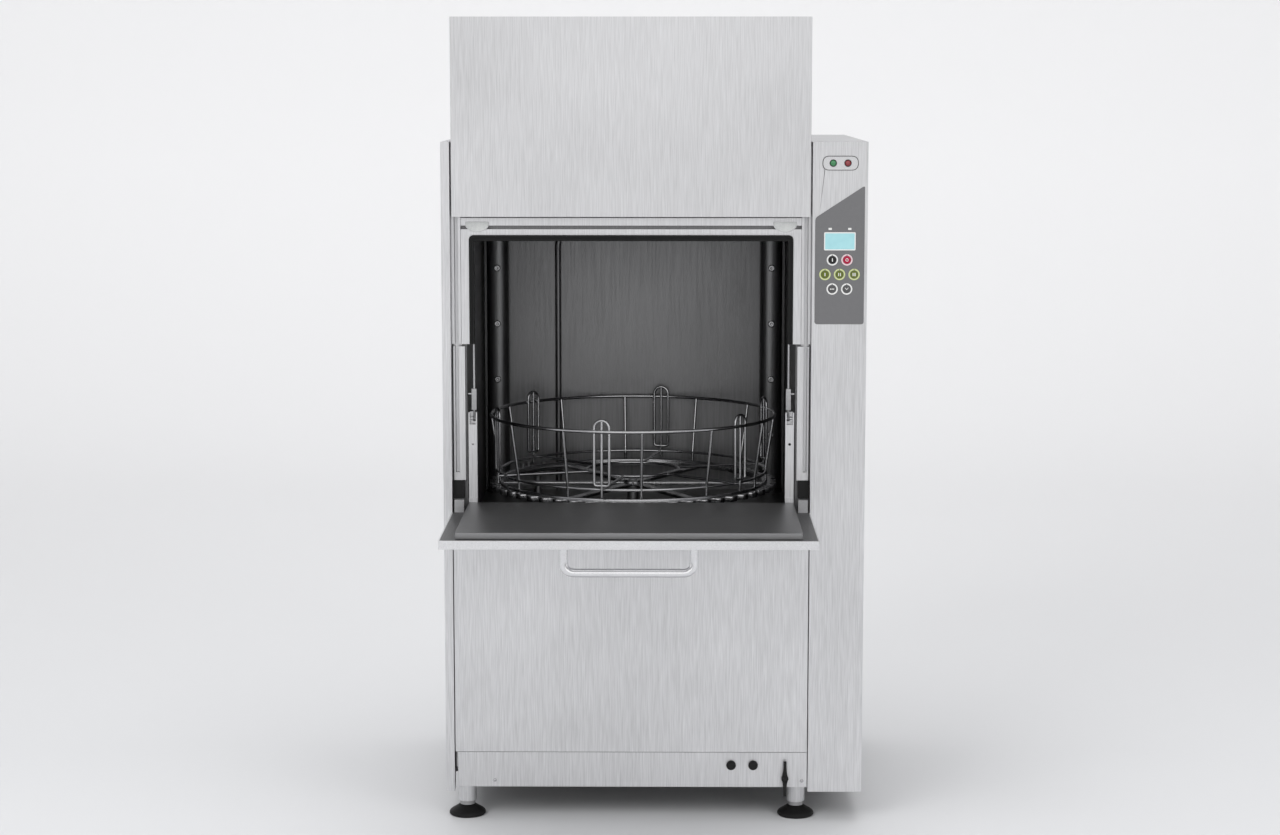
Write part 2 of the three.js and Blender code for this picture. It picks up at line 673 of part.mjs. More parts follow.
function drainValve() {
  const front = KICK_SETBACK + SHEET + FIT;
  const bodyBack = LEG_SETBACK - LEG_RADIUS - 3;
  const middle = (front + bodyBack) / 2;
  const x = TANK_HALF_WIDTH - DRAIN_PIPE.inset;
  const y = TANK_FRONT + DRAIN_PIPE.inset;
  const body = bar('y', VALVE_RADIUS, front, bodyBack, VALVE_OFFSET, VALVE_HEIGHT, 16);
  const pipe = bentBar([
    [VALVE_OFFSET, middle, VALVE_HEIGHT], [x, middle, VALVE_HEIGHT], [x, y, VALVE_HEIGHT],
    [x, y, TANK_BOTTOM - FIT],
  ], DRAIN_PIPE.radius, DRAIN_PIPE.bend, 10, 3);
  return body.add(pipe);
}

function drainLever() {
  const stem = bar('y', 5, -9, KICK_SETBACK + SHEET, 0, 0, 12);
  const hub = bar('y', LEVER_WIDTH * 0.62, -17, -7, 0, 0, 16);
  const half = LEVER_LENGTH / 2;
  const shape = roundedRectangle(
    -LEVER_WIDTH / 2, LEVER_WIDTH / 2, -half, half, LEVER_WIDTH * 0.45,
  );
  return union(stem, hub, frontPlate(shape, -14, -8, 4));
}

// ---------------------------------------------------------------- wash chamber
/** Room for a lift rod to pass through sheet at one height, on the left. */
function rodSlot(height, margin) {
  const half = ROD_BLOCK / 2 + ROD_BACK_GAP;
  return box(
    -ROD_OFFSET - half, -ROD_OFFSET + half, PIVOT_SETBACK - ROD_BLOCK, rodReach(height),
    height - margin, height + margin,
  );
}

function washChamber() {
  const half = CHAMBER_HALF_WIDTH;
  const outer = half + CHAMBER_SHEET;
  const under = FLOOR_TOP - CHAMBER_SHEET;
  const top = CHAMBER_CEILING + CHAMBER_SHEET;
  const back = CHAMBER_BACK + CHAMBER_SHEET;
  const flangeBack = flangeFront + CHAMBER_SHEET;
  const flangeInner = ARM_OUTER + FLANGE_GAP;
  const flangeTop = HEADER_BOTTOM + FLANGE_RISE;
  const sillHalf = ARM_OUTER - ARM_WIDTH - SILL_END_GAP;
  const walls = shell(
    [-outer, outer, flangeFront, back, under, top],
    [-half, half, flangeFront - 1, CHAMBER_BACK, FLOOR_TOP, CHAMBER_CEILING],
  );
  const flange = shell(
    [2 * FIT - bayHalf, bayHalf - 2 * FIT, flangeFront, flangeBack, FLOOR_TOP, flangeTop],
    [-flangeInner, flangeInner, flangeFront - 1, flangeBack + 1, FLOOR_TOP - 1, CHAMBER_CEILING],
  );
  const apron = union(
    box(-sillHalf, sillHalf, SILL_SETBACK, flangeFront + 1, under, FLOOR_TOP),
    box(-sillHalf, sillHalf, SILL_SETBACK, SILL_SETBACK + CHAMBER_SHEET,
      under, FLOOR_TOP + SILL_HEIGHT),
  );
  const opening = box(
    FLOOR_OPENING.inner, FLOOR_OPENING.outer, FLOOR_OPENING.front, FLOOR_OPENING.back,
    under - 1, FLOOR_TOP + 1,
  );
  const slot = rodSlot((CHAMBER_CEILING + HEADER_BOTTOM) / 2, HEADER_HEIGHT + 12);
  const shaft = bar('z', SPINDLE_PIN_RADIUS + 1, under - 1, FLOOR_TOP + 1, pinion.x, pinion.y, 16);
  return cut(
    union(walls, flange, apron),
    opening, mirrored(opening), slot, mirrored(slot), shaft,
  );
}

function chamberFrame() {
  const inner = GASKET_HALF_WIDTH + FIT;
  const outer = frameOuter - FIT;
  const bend = GASKET_BEND;
  const bendCentre = GASKET_TOP - bend + FIT;
  const frame = new THREE.Shape();
  frame.moveTo(-outer, RAIL_BREAK);
  frame.lineTo(-inner, RAIL_BREAK);
  frame.lineTo(-inner, bendCentre);
  frame.absarc(bend - inner, bendCentre, bend, Math.PI, Math.PI / 2, true);
  frame.absarc(inner - bend, bendCentre, bend, Math.PI / 2, 0, true);
  frame.lineTo(inner, RAIL_BREAK);
  frame.lineTo(outer, RAIL_BREAK);
  frame.lineTo(outer, frameTop);
  frame.lineTo(-outer, frameTop);
  const pocket = box(
    -GASKET_HALF_WIDTH - FIT / 2, -ROD_OFFSET + ROD_BLOCK, rodFrontGap,
    flangeFront + 1, GASKET_TOP - bend, frameTop + 1,
  );
  return cut(frontPlate(frame, FRAME_FRONT, flangeFront - FIT, 4), pocket, mirrored(pocket));
}

function upperGasket() {
  const outer = GASKET_HALF_WIDTH;
  const inner = outer - GASKET_STRIP;
  const low = GASKET_TOP - GASKET_TOP_STRIP;
  const shape = new THREE.Shape();
  shape.moveTo(-outer, RAIL_BREAK);
  shape.lineTo(-inner, RAIL_BREAK);
  shape.lineTo(-inner, low - GASKET_MITRE);
  shape.lineTo(GASKET_MITRE - inner, low);
  shape.lineTo(inner - GASKET_MITRE, low);
  shape.lineTo(inner, low - GASKET_MITRE);
  shape.lineTo(inner, RAIL_BREAK);
  shape.lineTo(outer, RAIL_BREAK);
  shape.absarc(outer - GASKET_BEND, GASKET_TOP - GASKET_BEND, GASKET_BEND, 0, Math.PI / 2);
  shape.absarc(GASKET_BEND - outer, GASKET_TOP - GASKET_BEND, GASKET_BEND, Math.PI / 2, Math.PI);
  return frontPlate(shape, GASKET_FRONT, GASKET_BACK, 4);
}

function doorHeader() {
  const half = frameOuter - FIT;
  const back = rodFrontGap;
  const top = HEADER_BOTTOM + HEADER_HEIGHT;
  const { offset, halfWidth, rise, shoulder, drop } = HEADER_TAB;
  const channel = shell(
    [-half, half, FRAME_FRONT, back, HEADER_BOTTOM, top],
    [-half - 1, half + 1, FRAME_FRONT + CHAMBER_SHEET, back + 1,
      HEADER_BOTTOM + CHAMBER_SHEET, top - CHAMBER_SHEET],
  );
  const tabs = [];
  for (const side of [-1, 1]) {
    const centre = side * offset;
    const shape = new THREE.Shape();
    shape.moveTo(centre - halfWidth, HEADER_BOTTOM + rise);
    shape.absellipse(centre, HEADER_BOTTOM + shoulder, halfWidth, drop, Math.PI, Math.PI * 2);
    shape.lineTo(centre + halfWidth, HEADER_BOTTOM + rise);
    tabs.push(frontPlate(shape, FRAME_FRONT - FIT - CHAMBER_SHEET, FRAME_FRONT - FIT, 8));
    tabs.push(box(
      centre - HEADER_TAB_FOOT.halfWidth, centre + HEADER_TAB_FOOT.halfWidth,
      FRAME_FRONT - CHAMBER_SHEET, FRAME_FRONT + 1,
      HEADER_BOTTOM + HEADER_TAB_FOOT.low, HEADER_BOTTOM + HEADER_TAB_FOOT.high,
    ));
  }
  return union(channel, ...tabs);
}

function guideRail() {
  const outer = bayHalf - FIT;
  const inner = outer - RAIL_WIDTH;
  const back = RAIL_FRONT + RAIL_DEPTH;
  const lowerOuter = outer - LOWER_RAIL_STEP;
  const groove = -(outer + inner) / 2;
  const web = RAIL_DEPTH - GROOVE_DEPTH;
  return cut(
    union(
      box(-outer, -inner, RAIL_FRONT, back, RAIL_BREAK, RAIL_TOP),
      box(-lowerOuter, -LOWER_RAIL_INNER, RAIL_FRONT, back,
        lowerRailBottom, RAIL_BREAK - RAIL_BREAK_GAP),
      box(-lowerOuter, -inner, back - web, back, RAIL_BREAK - 2 * RAIL_BREAK_GAP, RAIL_BREAK + 1),
    ),
    box(groove - GROOVE_WIDTH / 2, groove + GROOVE_WIDTH / 2, RAIL_FRONT - 1,
      RAIL_FRONT + GROOVE_DEPTH, lowerRailBottom + GROOVE_START, RAIL_TOP + 1),
  );
}

function railEndBlock() {
  return box(-flapHalf - 1, -BRACKET_INNER, RAIL_FRONT - END_BLOCK_PROUD, RAIL_FRONT + RAIL_DEPTH,
    endBlockBottom, endBlockBottom + END_BLOCK_HEIGHT);
}

function hingeBracket() {
  const { y, z } = hinge;
  const back = y + BRACKET_BACK;
  const top = z + BRACKET_REACH;
  const block = union(
    box(-BRACKET_OUTER, -BRACKET_INNER, y - BRACKET_FRONT, back, z - BRACKET_BELOW, top),
    box(-BRACKET_OUTER, -BRACKET_INNER, back - 1, RAIL_FRONT + RAIL_DEPTH, z + BRACKET_STRAP, top),
    box(-BRACKET_OUTER, -BRACKET_INNER, PANEL_RETURN + 2, back, upperRailTop + FIT, z),
  );
  const pin = bar('x', HINGE_PIN_RADIUS, -BRACKET_INNER - 1, ARM_WIDTH - ARM_OUTER + 1, y, z, 20);
  return block.add(pin);
}

function washPipe() {
  const low = FLOOR_TOP + FIT;
  const high = CHAMBER_CEILING - FIT;
  const pipe = bar('z', PIPE_RADIUS, low, high, -PIPE_OFFSET, PIPE_SETBACK, 24);
  const nozzles = [];
  const face = PIPE_SETBACK - PIPE_RADIUS;
  for (let i = 0; i < NOZZLES.count; i += 1) {
    const z = RING_TOP + NOZZLES.start + i * NOZZLES.pitch;
    nozzles.push(bar('y', NOZZLES.radius, face - NOZZLES.reach, face + 4,
      NOZZLES.inset - PIPE_OFFSET, z, 10));
  }
  return union(pipe, ...nozzles);
}

function rinsePipe() {
  const y = CHAMBER_BACK - RINSE_PIPE_RADIUS - FIT;
  return bentBar([
    [RINSE_PIPE_OFFSET, y, FLOOR_TOP + FIT],
    [RINSE_PIPE_OFFSET, y, CHAMBER_CEILING - RINSE_PIPE_DROP],
    [0, y, CHAMBER_CEILING - RINSE_PIPE_DROP],
  ], RINSE_PIPE_RADIUS, RINSE_PIPE_DROP, 10, 4);
}

function strainer() {
  const margin = STRAINER_MARGIN;
  const { inner, outer, front, back } = FLOOR_OPENING;
  const low = FLOOR_TOP + FIT;
  const high = low + CHAMBER_SHEET;
  const plate = box(-outer - margin, outer + margin, front - margin, back + margin, low, high);
  const slots = [bar('z', SPINDLE_RADIUS * 1.8, low - 1, high + 1, 0, tableCentreY, 24)];
  const pitch = (outer - inner) / STRAINER_SLOTS;
  for (const side of [-1, 1]) {
    for (let i = 0; i < STRAINER_SLOTS; i += 1) {
      const x = side * (inner + (i + 0.5) * pitch);
      slots.push(box(x - pitch / 4, x + pitch / 4, front + STRAINER_BORDER,
        back - STRAINER_BORDER, low - 1, high + 1));
    }
  }
  return cut(plate, ...slots);
}

function washTank() {
  const half = TANK_HALF_WIDTH;
  const rim = FLOOR_TOP - CHAMBER_SHEET - FIT;
  return shell(
    [-half, half, TANK_FRONT, TANK_BACK, TANK_BOTTOM, rim],
    [CHAMBER_SHEET - half, half - CHAMBER_SHEET, TANK_FRONT + CHAMBER_SHEET,
      TANK_BACK - CHAMBER_SHEET, TANK_BOTTOM + CHAMBER_SHEET, rim + 1],
  );
}

// ---------------------------------------------------------------- pumps and drive
function washPump() {
  const x = TANK_HALF_WIDTH + PUMP.offset;
  const y = TANK_FRONT + PUMP.setback;
  const floor = FRAME_BOTTOM + FRAME_TUBE + FIT;
  const z = floor + PUMP.height;
  const inlet = TANK_BOTTOM + PUMP.pipeRise;
  const footFront = y + PUMP.footFront;
  const footBack = y + PUMP.footBack;
  return union(
    bar('y', PUMP.volute, y - 30, y + 25, x, z, 24),
    bar('y', PUMP.motor, y + 20, y + PUMP.motorLength, x, z, 20),
    box(x - 40, bayHalf - 10, footFront, footBack, floor, floor + PUMP.footThickness),
    box(x - 25, x + 25, footFront + 10, footBack - 10, floor + 5, z),
    bar('x', PUMP.pipe, TANK_HALF_WIDTH + FIT, x, y, inlet, 16),
    bar('z', PUMP.pipe, z, inlet, x, y, 16),
  );
}

function boosterHeater() {
  const { radius, halfLength, setback, clearance, footOffset } = HEATER;
  const y = TANK_BACK + setback;
  const z = FRAME_BOTTOM + FRAME_TUBE + radius + clearance;
  const floor = FRAME_BOTTOM + FRAME_TUBE + FIT;
  const feet = [-footOffset, footOffset].map(
    (x) => box(x - 10, x + 10, y - 30, y + 62, floor, z),
  );
  return union(bar('x', radius, -halfLength, halfLength, y, z, 24), ...feet);
}

function gearmotor() {
  const { half, depth, motorRadius, length, boreDepth } = GEARBOX;
  const { x, y } = pinion;
  const top = upperRailTop;
  const body = union(
    box(x - half, x + half, y - half, y + half, top - depth, top),
    bar('z', motorRadius, top - length, top - depth + 2, x, y, 20),
  );
  return cut(body, bar('z', PINION_SHAFT_RADIUS + FIT, top - boreDepth, top + 1, x, y, 16));
}

// ---------------------------------------------------------------- turntable and basket
function ringOutline(inner, outer) {
  const shape = new THREE.Shape();
  shape.absarc(0, 0, outer, 0, Math.PI * 2);
  const hole = new THREE.Path();
  hole.absarc(0, 0, inner, 0, Math.PI * 2, true);
  shape.holes.push(hole);
  return shape;
}

/** The turntable ring's edge: a round notch for each pinion pin, one of them facing the pinion. */
function toothedOutline() {
  const shape = new THREE.Shape();
  const half = Math.asin(NOTCH_RADIUS / RING_PITCH_RADIUS);
  for (let tooth = 0; tooth < RING_TEETH; tooth += 1) {
    const middle = pinionAngle + (tooth / RING_TEETH) * Math.PI * 2;
    const root = RING_PITCH_RADIUS - NOTCH_RADIUS * 0.8;
    const points = [
      [RING_RADIUS, middle - half], [root, middle - half * 0.6],
      [root, middle + half * 0.6], [RING_RADIUS, middle + half],
    ];
    points.forEach(([radius, angle], index) => {
      const point = [radius * Math.cos(angle), radius * Math.sin(angle)];
      if (tooth + index === 0) shape.moveTo(...point);
      else shape.lineTo(...point);
    });
  }
  const hole = new THREE.Path();
  hole.absarc(0, 0, RING_INNER_RADIUS, 0, Math.PI * 2, true);
  shape.holes.push(hole);
  return shape;
}

function turntable() {
  const low = ringBottom;
  const reach = RING_INNER_RADIUS + 4;
  const parts = [
    flatPlate(toothedOutline(), low, RING_TOP - RING_LIP_HEIGHT, 16),
    flatPlate(ringOutline(RING_INNER_RADIUS, RING_INNER_RADIUS + RING_LIP),
      RING_TOP - RING_LIP_HEIGHT - 1, RING_TOP, 16),
  ];
  for (let spoke = 0; spoke < 3; spoke += 1) {
    const arm = box(-reach, reach, -SPOKE_HALF_WIDTH, SPOKE_HALF_WIDTH, low, low + SPOKE_HEIGHT);
    parts.push(arm.rotate([0, 0, spoke * 60]));
  }
  parts.push(bar('z', HUB.radius, low - HUB.low, low + HUB.high, 0, 0, 24));
  const bore = bar('z', SPINDLE_PIN_RADIUS + FIT, low - HUB.low - 1, low + HUB.high + 1, 0, 0, 20);
  return cut(union(...parts), bore);
}

function turntableSpindle() {
  const shoulder = ringBottom - HUB.low - FIT;
  const flangeTop = FLOOR_TOP + SPINDLE_FLANGE_HEIGHT;
  return union(
    bar('z', SPINDLE_RADIUS * 1.6, FLOOR_TOP + FIT, flangeTop, 0, tableCentreY, 20),
    bar('z', SPINDLE_RADIUS, flangeTop - 1, shoulder, 0, tableCentreY, 20),
    bar('z', SPINDLE_PIN_RADIUS, shoulder - 1, shoulder + SPINDLE_PIN_LENGTH, 0, tableCentreY, 20),
  );
}

function drivePinion() {
  const low = ringBottom;
  const discRadius = pinionPitchRadius + PINION_PIN_RADIUS + PINION_FLANGE.margin;
  const parts = [
    bar('z', discRadius, low - PINION_FLANGE.low, low - PINION_FLANGE.high, 0, 0, 24),
    bar('z', PINION_SHAFT_RADIUS, FLOOR_TOP - 26, low - PINION_FLANGE.low + 4, 0, 0, 12),
  ];
  for (let pin = 0; pin < PINION_PINS; pin += 1) {
    const angle = pinionAngle + Math.PI + (pin / PINION_PINS) * Math.PI * 2;
    parts.push(bar('z', PINION_PIN_RADIUS, low - PINION_FLANGE.high - 1, RING_TOP - PINION_PIN_TOP,
      pinionPitchRadius * Math.cos(angle), pinionPitchRadius * Math.sin(angle), 10));
  }
  return union(...parts);
}

/** A straight wire between two points. */
function wire(from, to, radius = BASKET_WIRE) {
  return bentBar([from, to], radius, 1, 4);
}

function hairpin(base, top) {
  const radius = BASKET_RADIUS - HAIRPIN_INSET;
  const low = base + HAIRPIN_FOOT;
  const half = HAIRPIN_HALF_WIDTH;
  const loop = bentBar([
    [0, -radius, low], [half, -radius, low], [half, -radius, top], [-half, -radius, top],
    [-half, -radius, low], [BASKET_WIRE / 2, -radius, low],
  ], BASKET_WIRE, half * 0.9, 4, 2);
  return loop.add(wire([0, -radius, top - 1], [0, -radius, RING_TOP + FIT]));
}

function basket() {
  const base = RING_TOP + BASKET_LIFT;
  const rim = base + BASKET_HEIGHT - BASKET_LIFT;
  const inner = BASKET_HUB_RADIUS;
  const parts = [
    wireRing(BASKET_RADIUS, BASKET_RIM_WIRE, rim),
    wireRing(BASKET_BASE_RADIUS, BASKET_WIRE, base),
    wireRing(inner, BASKET_WIRE, base, 16),
  ];
  for (let index = 0; index < BASKET_BAYS; index += 1) {
    const turn = BASKET_TURN + index * 360 / BASKET_BAYS;
    const tie = wire([0, -BASKET_BASE_RADIUS, base], [0, HAIRPIN_INSET - BASKET_RADIUS, base]);
    parts.push(hairpin(base, rim + HAIRPIN_RISE).add(tie).rotate([0, 0, turn]));
    parts.push(wire([0, -inner, base], [0, -BASKET_BASE_RADIUS, base]).rotate([0, 0, turn]));
    for (const side of [-STAY_ANGLE, STAY_ANGLE]) {
      const stay = bentBar([
        [0, -BASKET_BASE_RADIUS, RING_TOP + FIT], [0, -BASKET_BASE_RADIUS, base],
        [0, -BASKET_RADIUS, rim],
      ], BASKET_WIRE, 6, 4, 1);
      parts.push(stay.rotate([0, 0, turn + side]));
    }
  }
  return union(...parts);
}

// ---------------------------------------------------------------- doors
function lowerDoorShell() {
  const flange = FLAP_FLANGE;
  const low = -DOOR_SKIN_DROP;
  const tray = shell(
    [-flapHalf, flapHalf, -FLAP_REACH, FLAP_TAIL, low, flapTop],
    [SHEET - flapHalf, flapHalf - SHEET, SHEET - FLAP_REACH, FLAP_TAIL - SHEET,
      low + SHEET, flapTop - SHEET],
  );
  const window = box(flange + SHEET - flapHalf, flapHalf - flange - SHEET, flange - FLAP_REACH,
    FLAP_TAIL - flange / 2, 0, flapTop + 1);
  const corner = box(-flapHalf - 1, ARM_WIDTH - ARM_OUTER + CORNER_GAP, -BRACKET_REACH - 5,
    FLAP_TAIL + 1, low - 1, flapTop + 1);
  return cut(tray, window, corner, mirrored(corner));
}

function lowerDoorLiner() {
  const low = flapTop + FIT;
  return shell(
    [-LINER_HALF_WIDTH, LINER_HALF_WIDTH, -LINER_REACH, LINER_TAIL, low, linerTop],
    [SHEET - LINER_HALF_WIDTH, LINER_HALF_WIDTH - SHEET, SHEET - LINER_REACH,
      LINER_TAIL - SHEET, low - 1, linerTop - SHEET],
  );
}

function lowerDoorHandle() {
  const top = -DOOR_SKIN_DROP - FIT;
  const y = HANDLE_INSET - FLAP_REACH;
  const low = top - HANDLE_DROP;
  return bentBar([
    [-HANDLE_HALF_WIDTH, y, top], [-HANDLE_HALF_WIDTH, y, low],
    [HANDLE_HALF_WIDTH, y, low], [HANDLE_HALF_WIDTH, y, top],
  ], HANDLE_RADIUS, HANDLE_BEND, 10, 4);
}

/** The left crank arm: a foot bored for the hinge pin and a post with a clevis on top. */
function crankArm() {
  const x0 = -ARM_OUTER;
  const x1 = x0 + ARM_WIDTH;
  const front = pivotBack - ARM_DEPTH / 2;
  const back = pivotBack + ARM_DEPTH / 2;
  const plateTop = flapTop - FIT / 3;
  const plateLow = plateTop - ARM_PLATE;
  const footTop = flapTop - SHEET - FIT;
  const footFront = -BRACKET_REACH - ARM_FOOT_LENGTH;
  const footLow = SHEET + FIT - DOOR_SKIN_DROP;
  const top = pivotUp + CLEVIS_ABOVE;
  const body = union(
    sidePlate([
      [footFront, footLow], [-BRACKET_REACH, footLow], [0, FIT - DOOR_SKIN_DROP], [0, footTop],
      [footFront, footTop],
    ], x0, x1),
    bar('x', DOOR_SKIN_DROP - FIT, x0, x1, 0, 0, 24),
    box(x0, x1, -2, back, plateLow, plateTop),
    box(x0, x1, LINER_TAIL + 2, back, plateLow, linerTop + ARM_COLLAR),
    box(x0, x1, front, back, plateLow, top),
  );
  const slot = box(x0 + CHEEK, x1 - CHEEK, front - 1, back - CHEEK,
    pivotUp - CLEVIS_BELOW, top + 1);
  const bore = bar('x', HINGE_PIN_RADIUS + PIN_CLEARANCE, x0 - 1, x1 + 1, 0, 0, 20);
  const adjuster = bar('y', ADJUSTER.radius, front - 1, front + ADJUSTER.depth,
    (x0 + x1) / 2, pivotUp - ADJUSTER.drop, 10);
  const pivotPin = bar('x', PIVOT_PIN_RADIUS, x0 + 1, x1 - 1, pivotBack, pivotUp, 12);
  return cut(body, slot, bore, adjuster).add(pivotPin);
}

/** The left lift rod, drawn upright from its lower pivot. */
function liftRod() {
  const x = -ROD_OFFSET;
  const half = ROD_BLOCK / 2;
  const blockTop = ROD_BLOCK_START + ROD_BLOCK_LENGTH;
  const eye = (z, hole) => cut(
    bar('x', ROD_EYE_RADIUS, x - ROD_RADIUS, x + ROD_RADIUS, 0, z, 20),
    bar('x', hole, x - ROD_RADIUS - 1, x + ROD_RADIUS + 1, 0, z, 12),
  );
  const shank = ROD_EYE_RADIUS - 2;
  return union(
    bar('z', ROD_RADIUS, shank, ROD_LENGTH - shank, x, 0, 12),
    box(x - half, x + half, -half, half, ROD_BLOCK_START, blockTop),
    bar('x', ROD_STUD.radius, x - half - ROD_STUD.length, x - half + 1,
      0, blockTop - ROD_STUD.drop, 8),
    eye(0, PIVOT_PIN_RADIUS + PIN_CLEARANCE),
    eye(ROD_LENGTH, ROD_HOLE_RADIUS),
  );
}

function upperDoorSkin() {
  const half = bayHalf - UPPER_DOOR_SIDE_GAP;
  return shell(
    [-half, half, 0, UPPER_DOOR_THICKNESS, 0, UPPER_DOOR_HEIGHT],
    [SHEET - half, half - SHEET, SHEET, UPPER_DOOR_THICKNESS + 1,
      SHEET, UPPER_DOOR_HEIGHT - SHEET],
  );
}

function upperDoorLiner() {
  const half = bayHalf - UPPER_DOOR_SIDE_GAP - SHEET - FIT;
  const back = UPPER_DOOR_THICKNESS;
  const middle = UPPER_DOOR_HEIGHT / 2;
  const stiffenerHalf = half - DOOR_STIFFENER.inset;
  const parts = [
    box(-half, half, back - SHEET, back, SHEET + FIT, UPPER_DOOR_HEIGHT - SHEET - FIT),
    box(-stiffenerHalf, stiffenerHalf, SHEET + FIT, back - 1,
      middle - DOOR_STIFFENER.halfHeight, middle + DOOR_STIFFENER.halfHeight),
  ];
  const groove = bayHalf - FIT - RAIL_WIDTH / 2;
  const guideBack = RAIL_FRONT + GROOVE_DEPTH - DOOR_GUIDE.clearance;
  const pivot = upperPivotZ - upperDoorBottom;
  const lugInner = ROD_OFFSET + ROD_RADIUS + FIT;
  const lugOuter = lugInner + LUG_THICKNESS;
  const lugBack = PIVOT_SETBACK + LUG_TIP;
  const lug = sidePlate([
    [back - 1, pivot - LUG_ROOT], [lugBack, pivot - LUG_TIP], [lugBack, pivot + LUG_TIP],
    [back - 1, pivot + LUG_ROOT],
  ], lugInner, lugOuter);
  const bolt = bar('x', LUG_BOLT_RADIUS, lugOuter - 1, lugOuter + 4, PIVOT_SETBACK, pivot, 6);
  const blindHole = bar('x', ROD_HOLE_RADIUS, lugInner - 1, lugInner + LUG_THICKNESS / 2,
    PIVOT_SETBACK, pivot, 12);
  const fork = cut(lug.add(bolt), blindHole);
  parts.push(fork, mirrored(fork));
  for (const x of [-groove, groove]) {
    for (const z of DOOR_GUIDE.bottoms) {
      parts.push(box(x - DOOR_GUIDE.halfWidth, x + DOOR_GUIDE.halfWidth, back - 1, guideBack,
        z, z + DOOR_GUIDE.height));
    }
  }
  return union(...parts);
}

// ---------------------------------------------------------------- control panel
function overlayOutline() {
  const left = columnCentre - OVERLAY_WIDTH / 2;
  const right = columnCentre + OVERLAY_WIDTH / 2;
  const low = OVERLAY_BOTTOM;
  const corner = OVERLAY_CORNER;
  const leftTop = low + OVERLAY_LEFT_HEIGHT;
  const rightTop = low + OVERLAY_RIGHT_HEIGHT;
  const slope = new THREE.Vector2(right - left, rightTop - leftTop).setLength(corner);
  const shape = new THREE.Shape();
  shape.moveTo(left + corner, low);
  shape.lineTo(right - corner, low);
  shape.quadraticCurveTo(right, low, right, low + corner);
  shape.lineTo(right, rightTop - corner);
  shape.quadraticCurveTo(right, rightTop, right - slope.x, rightTop - slope.y);
  shape.lineTo(left + slope.x, leftTop + slope.y);
  shape.quadraticCurveTo(left, leftTop, left, leftTop - corner);
  shape.lineTo(left, low + corner);
  shape.quadraticCurveTo(left, low, left + corner, low);
  return shape;
}

/** Where each key sits: two keys, then three, then two, in a honeycomb. */
const keys = [
  { name: 'start_key', column: -0.5, row: 0, material: blackPlastic },
  { name: 'stop_key', column: 0.5, row: 0, material: redKey },
  { name: 'short_program_key', column: -1, row: 1, material: oliveKey },
  { name: 'normal_program_key', column: 0, row: 1, material: oliveKey },
  { name: 'long_program_key', column: 1, row: 1, material: oliveKey },
  { name: 'granule_collect_key', column: -0.5, row: 2, material: greyPlastic },
  { name: 'drain_key', column: 0.5, row: 2, material: greyPlastic },
];

const lamps = [
  { name: 'green_lamp', x: columnCentre - INDICATOR.spacing / 2, material: greenLens },
  { name: 'red_lamp', x: columnCentre + INDICATOR.spacing / 2, material: redLens },
];

function keyPlace({ column, row }) {
  return [columnCentre + column * KEY_PITCH, KEY_TOP_ROW - row * KEY_ROW_PITCH];
}

function controlOverlay() {
  const back = -FIT;
  const front = back - OVERLAY_THICKNESS;
  const half = DISPLAY.width / 2;
  const holes = keys.map((key) => {
    const [x, z] = keyPlace(key);
    return bar('y', KEY_RADIUS + FIT, front - 1, back + 1, x, z, 16);
  });
  const window = box(columnCentre - half, columnCentre + half, front - 1, back + 1,
    DISPLAY.bottom, DISPLAY.bottom + DISPLAY.height);
  return cut(frontPlate(overlayOutline(), front, back, 4), window, ...holes);
}

function displayWindow() {
  const half = DISPLAY.width / 2 - FIT;
  const low = DISPLAY.bottom + FIT;
  const high = DISPLAY.bottom + DISPLAY.height - FIT;
  const front = -OVERLAY_THICKNESS - FIT - 0.4;
  return box(columnCentre - half, columnCentre + half, front, keyBack - FIT, low, high);
}

/** A key, turned about the axis that it is pressed along. */
function key() {
  const front = KEY_PROUD;
  const stemEnd = -SHEET - KEY_STEM_LENGTH;
  const body = turned([
    [0, stemEnd], [KEY_STEM_RADIUS, stemEnd], [KEY_STEM_RADIUS, -0.8], [KEY_RADIUS, -0.8],
    [KEY_RADIUS, front - 1.4], [KEY_RADIUS - 1.2, front - 0.5],
    [KEY_RADIUS * 0.55, front - 0.15], [0, front],
  ], 14);
  return body.rotate([90, 0, 0]);
}

function indicatorPlate() {
  const back = -FIT;
  const front = back - INDICATOR_THICKNESS;
  const holes = lamps.map(({ x }) => bar('y', LAMP_RADIUS + FIT, front - 1, back + 1,
    x, INDICATOR.middle, 16));
  return cut(frontPlate(indicatorOutline(0), front, back, 5), ...holes);
}

function lamp() {
  const body = turned([
    [0, -LAMP_DEPTH], [LAMP_RADIUS - 1, -LAMP_DEPTH], [LAMP_RADIUS - 1, -0.1],
    [LAMP_RADIUS, -0.1], [LAMP_RADIUS, 1.6], [LAMP_RADIUS * 0.6, 3.6], [0, 4.2],
  ], 14);
  return body.rotate([90, 0, 0]);
}

// ---------------------------------------------------------------- assembly
place(machine, 'left_side_panel', leftSidePanel(), brushed);
place(machine, 'column_casing', columnCasing(), brushed);
place(machine, 'column_rear_cover', columnRearCover(), brushed);
place(machine, 'control_box', controlBox(), paintedGrey);
place(machine, 'control_overlay', controlOverlay(), greyPlastic);
place(machine, 'display_window', displayWindow(), paleCyan);
place(machine, 'indicator_plate', indicatorPlate(), castGrey);
for (const entry of keys) {
  const [x, z] = keyPlace(entry);
  place(machine, entry.name, key(), entry.material).position.set(x, 0, z);
}
for (const { name, x, material } of lamps) {
  place(machine, name, lamp(), material).position.set(x, 0, INDICATOR.middle);
}

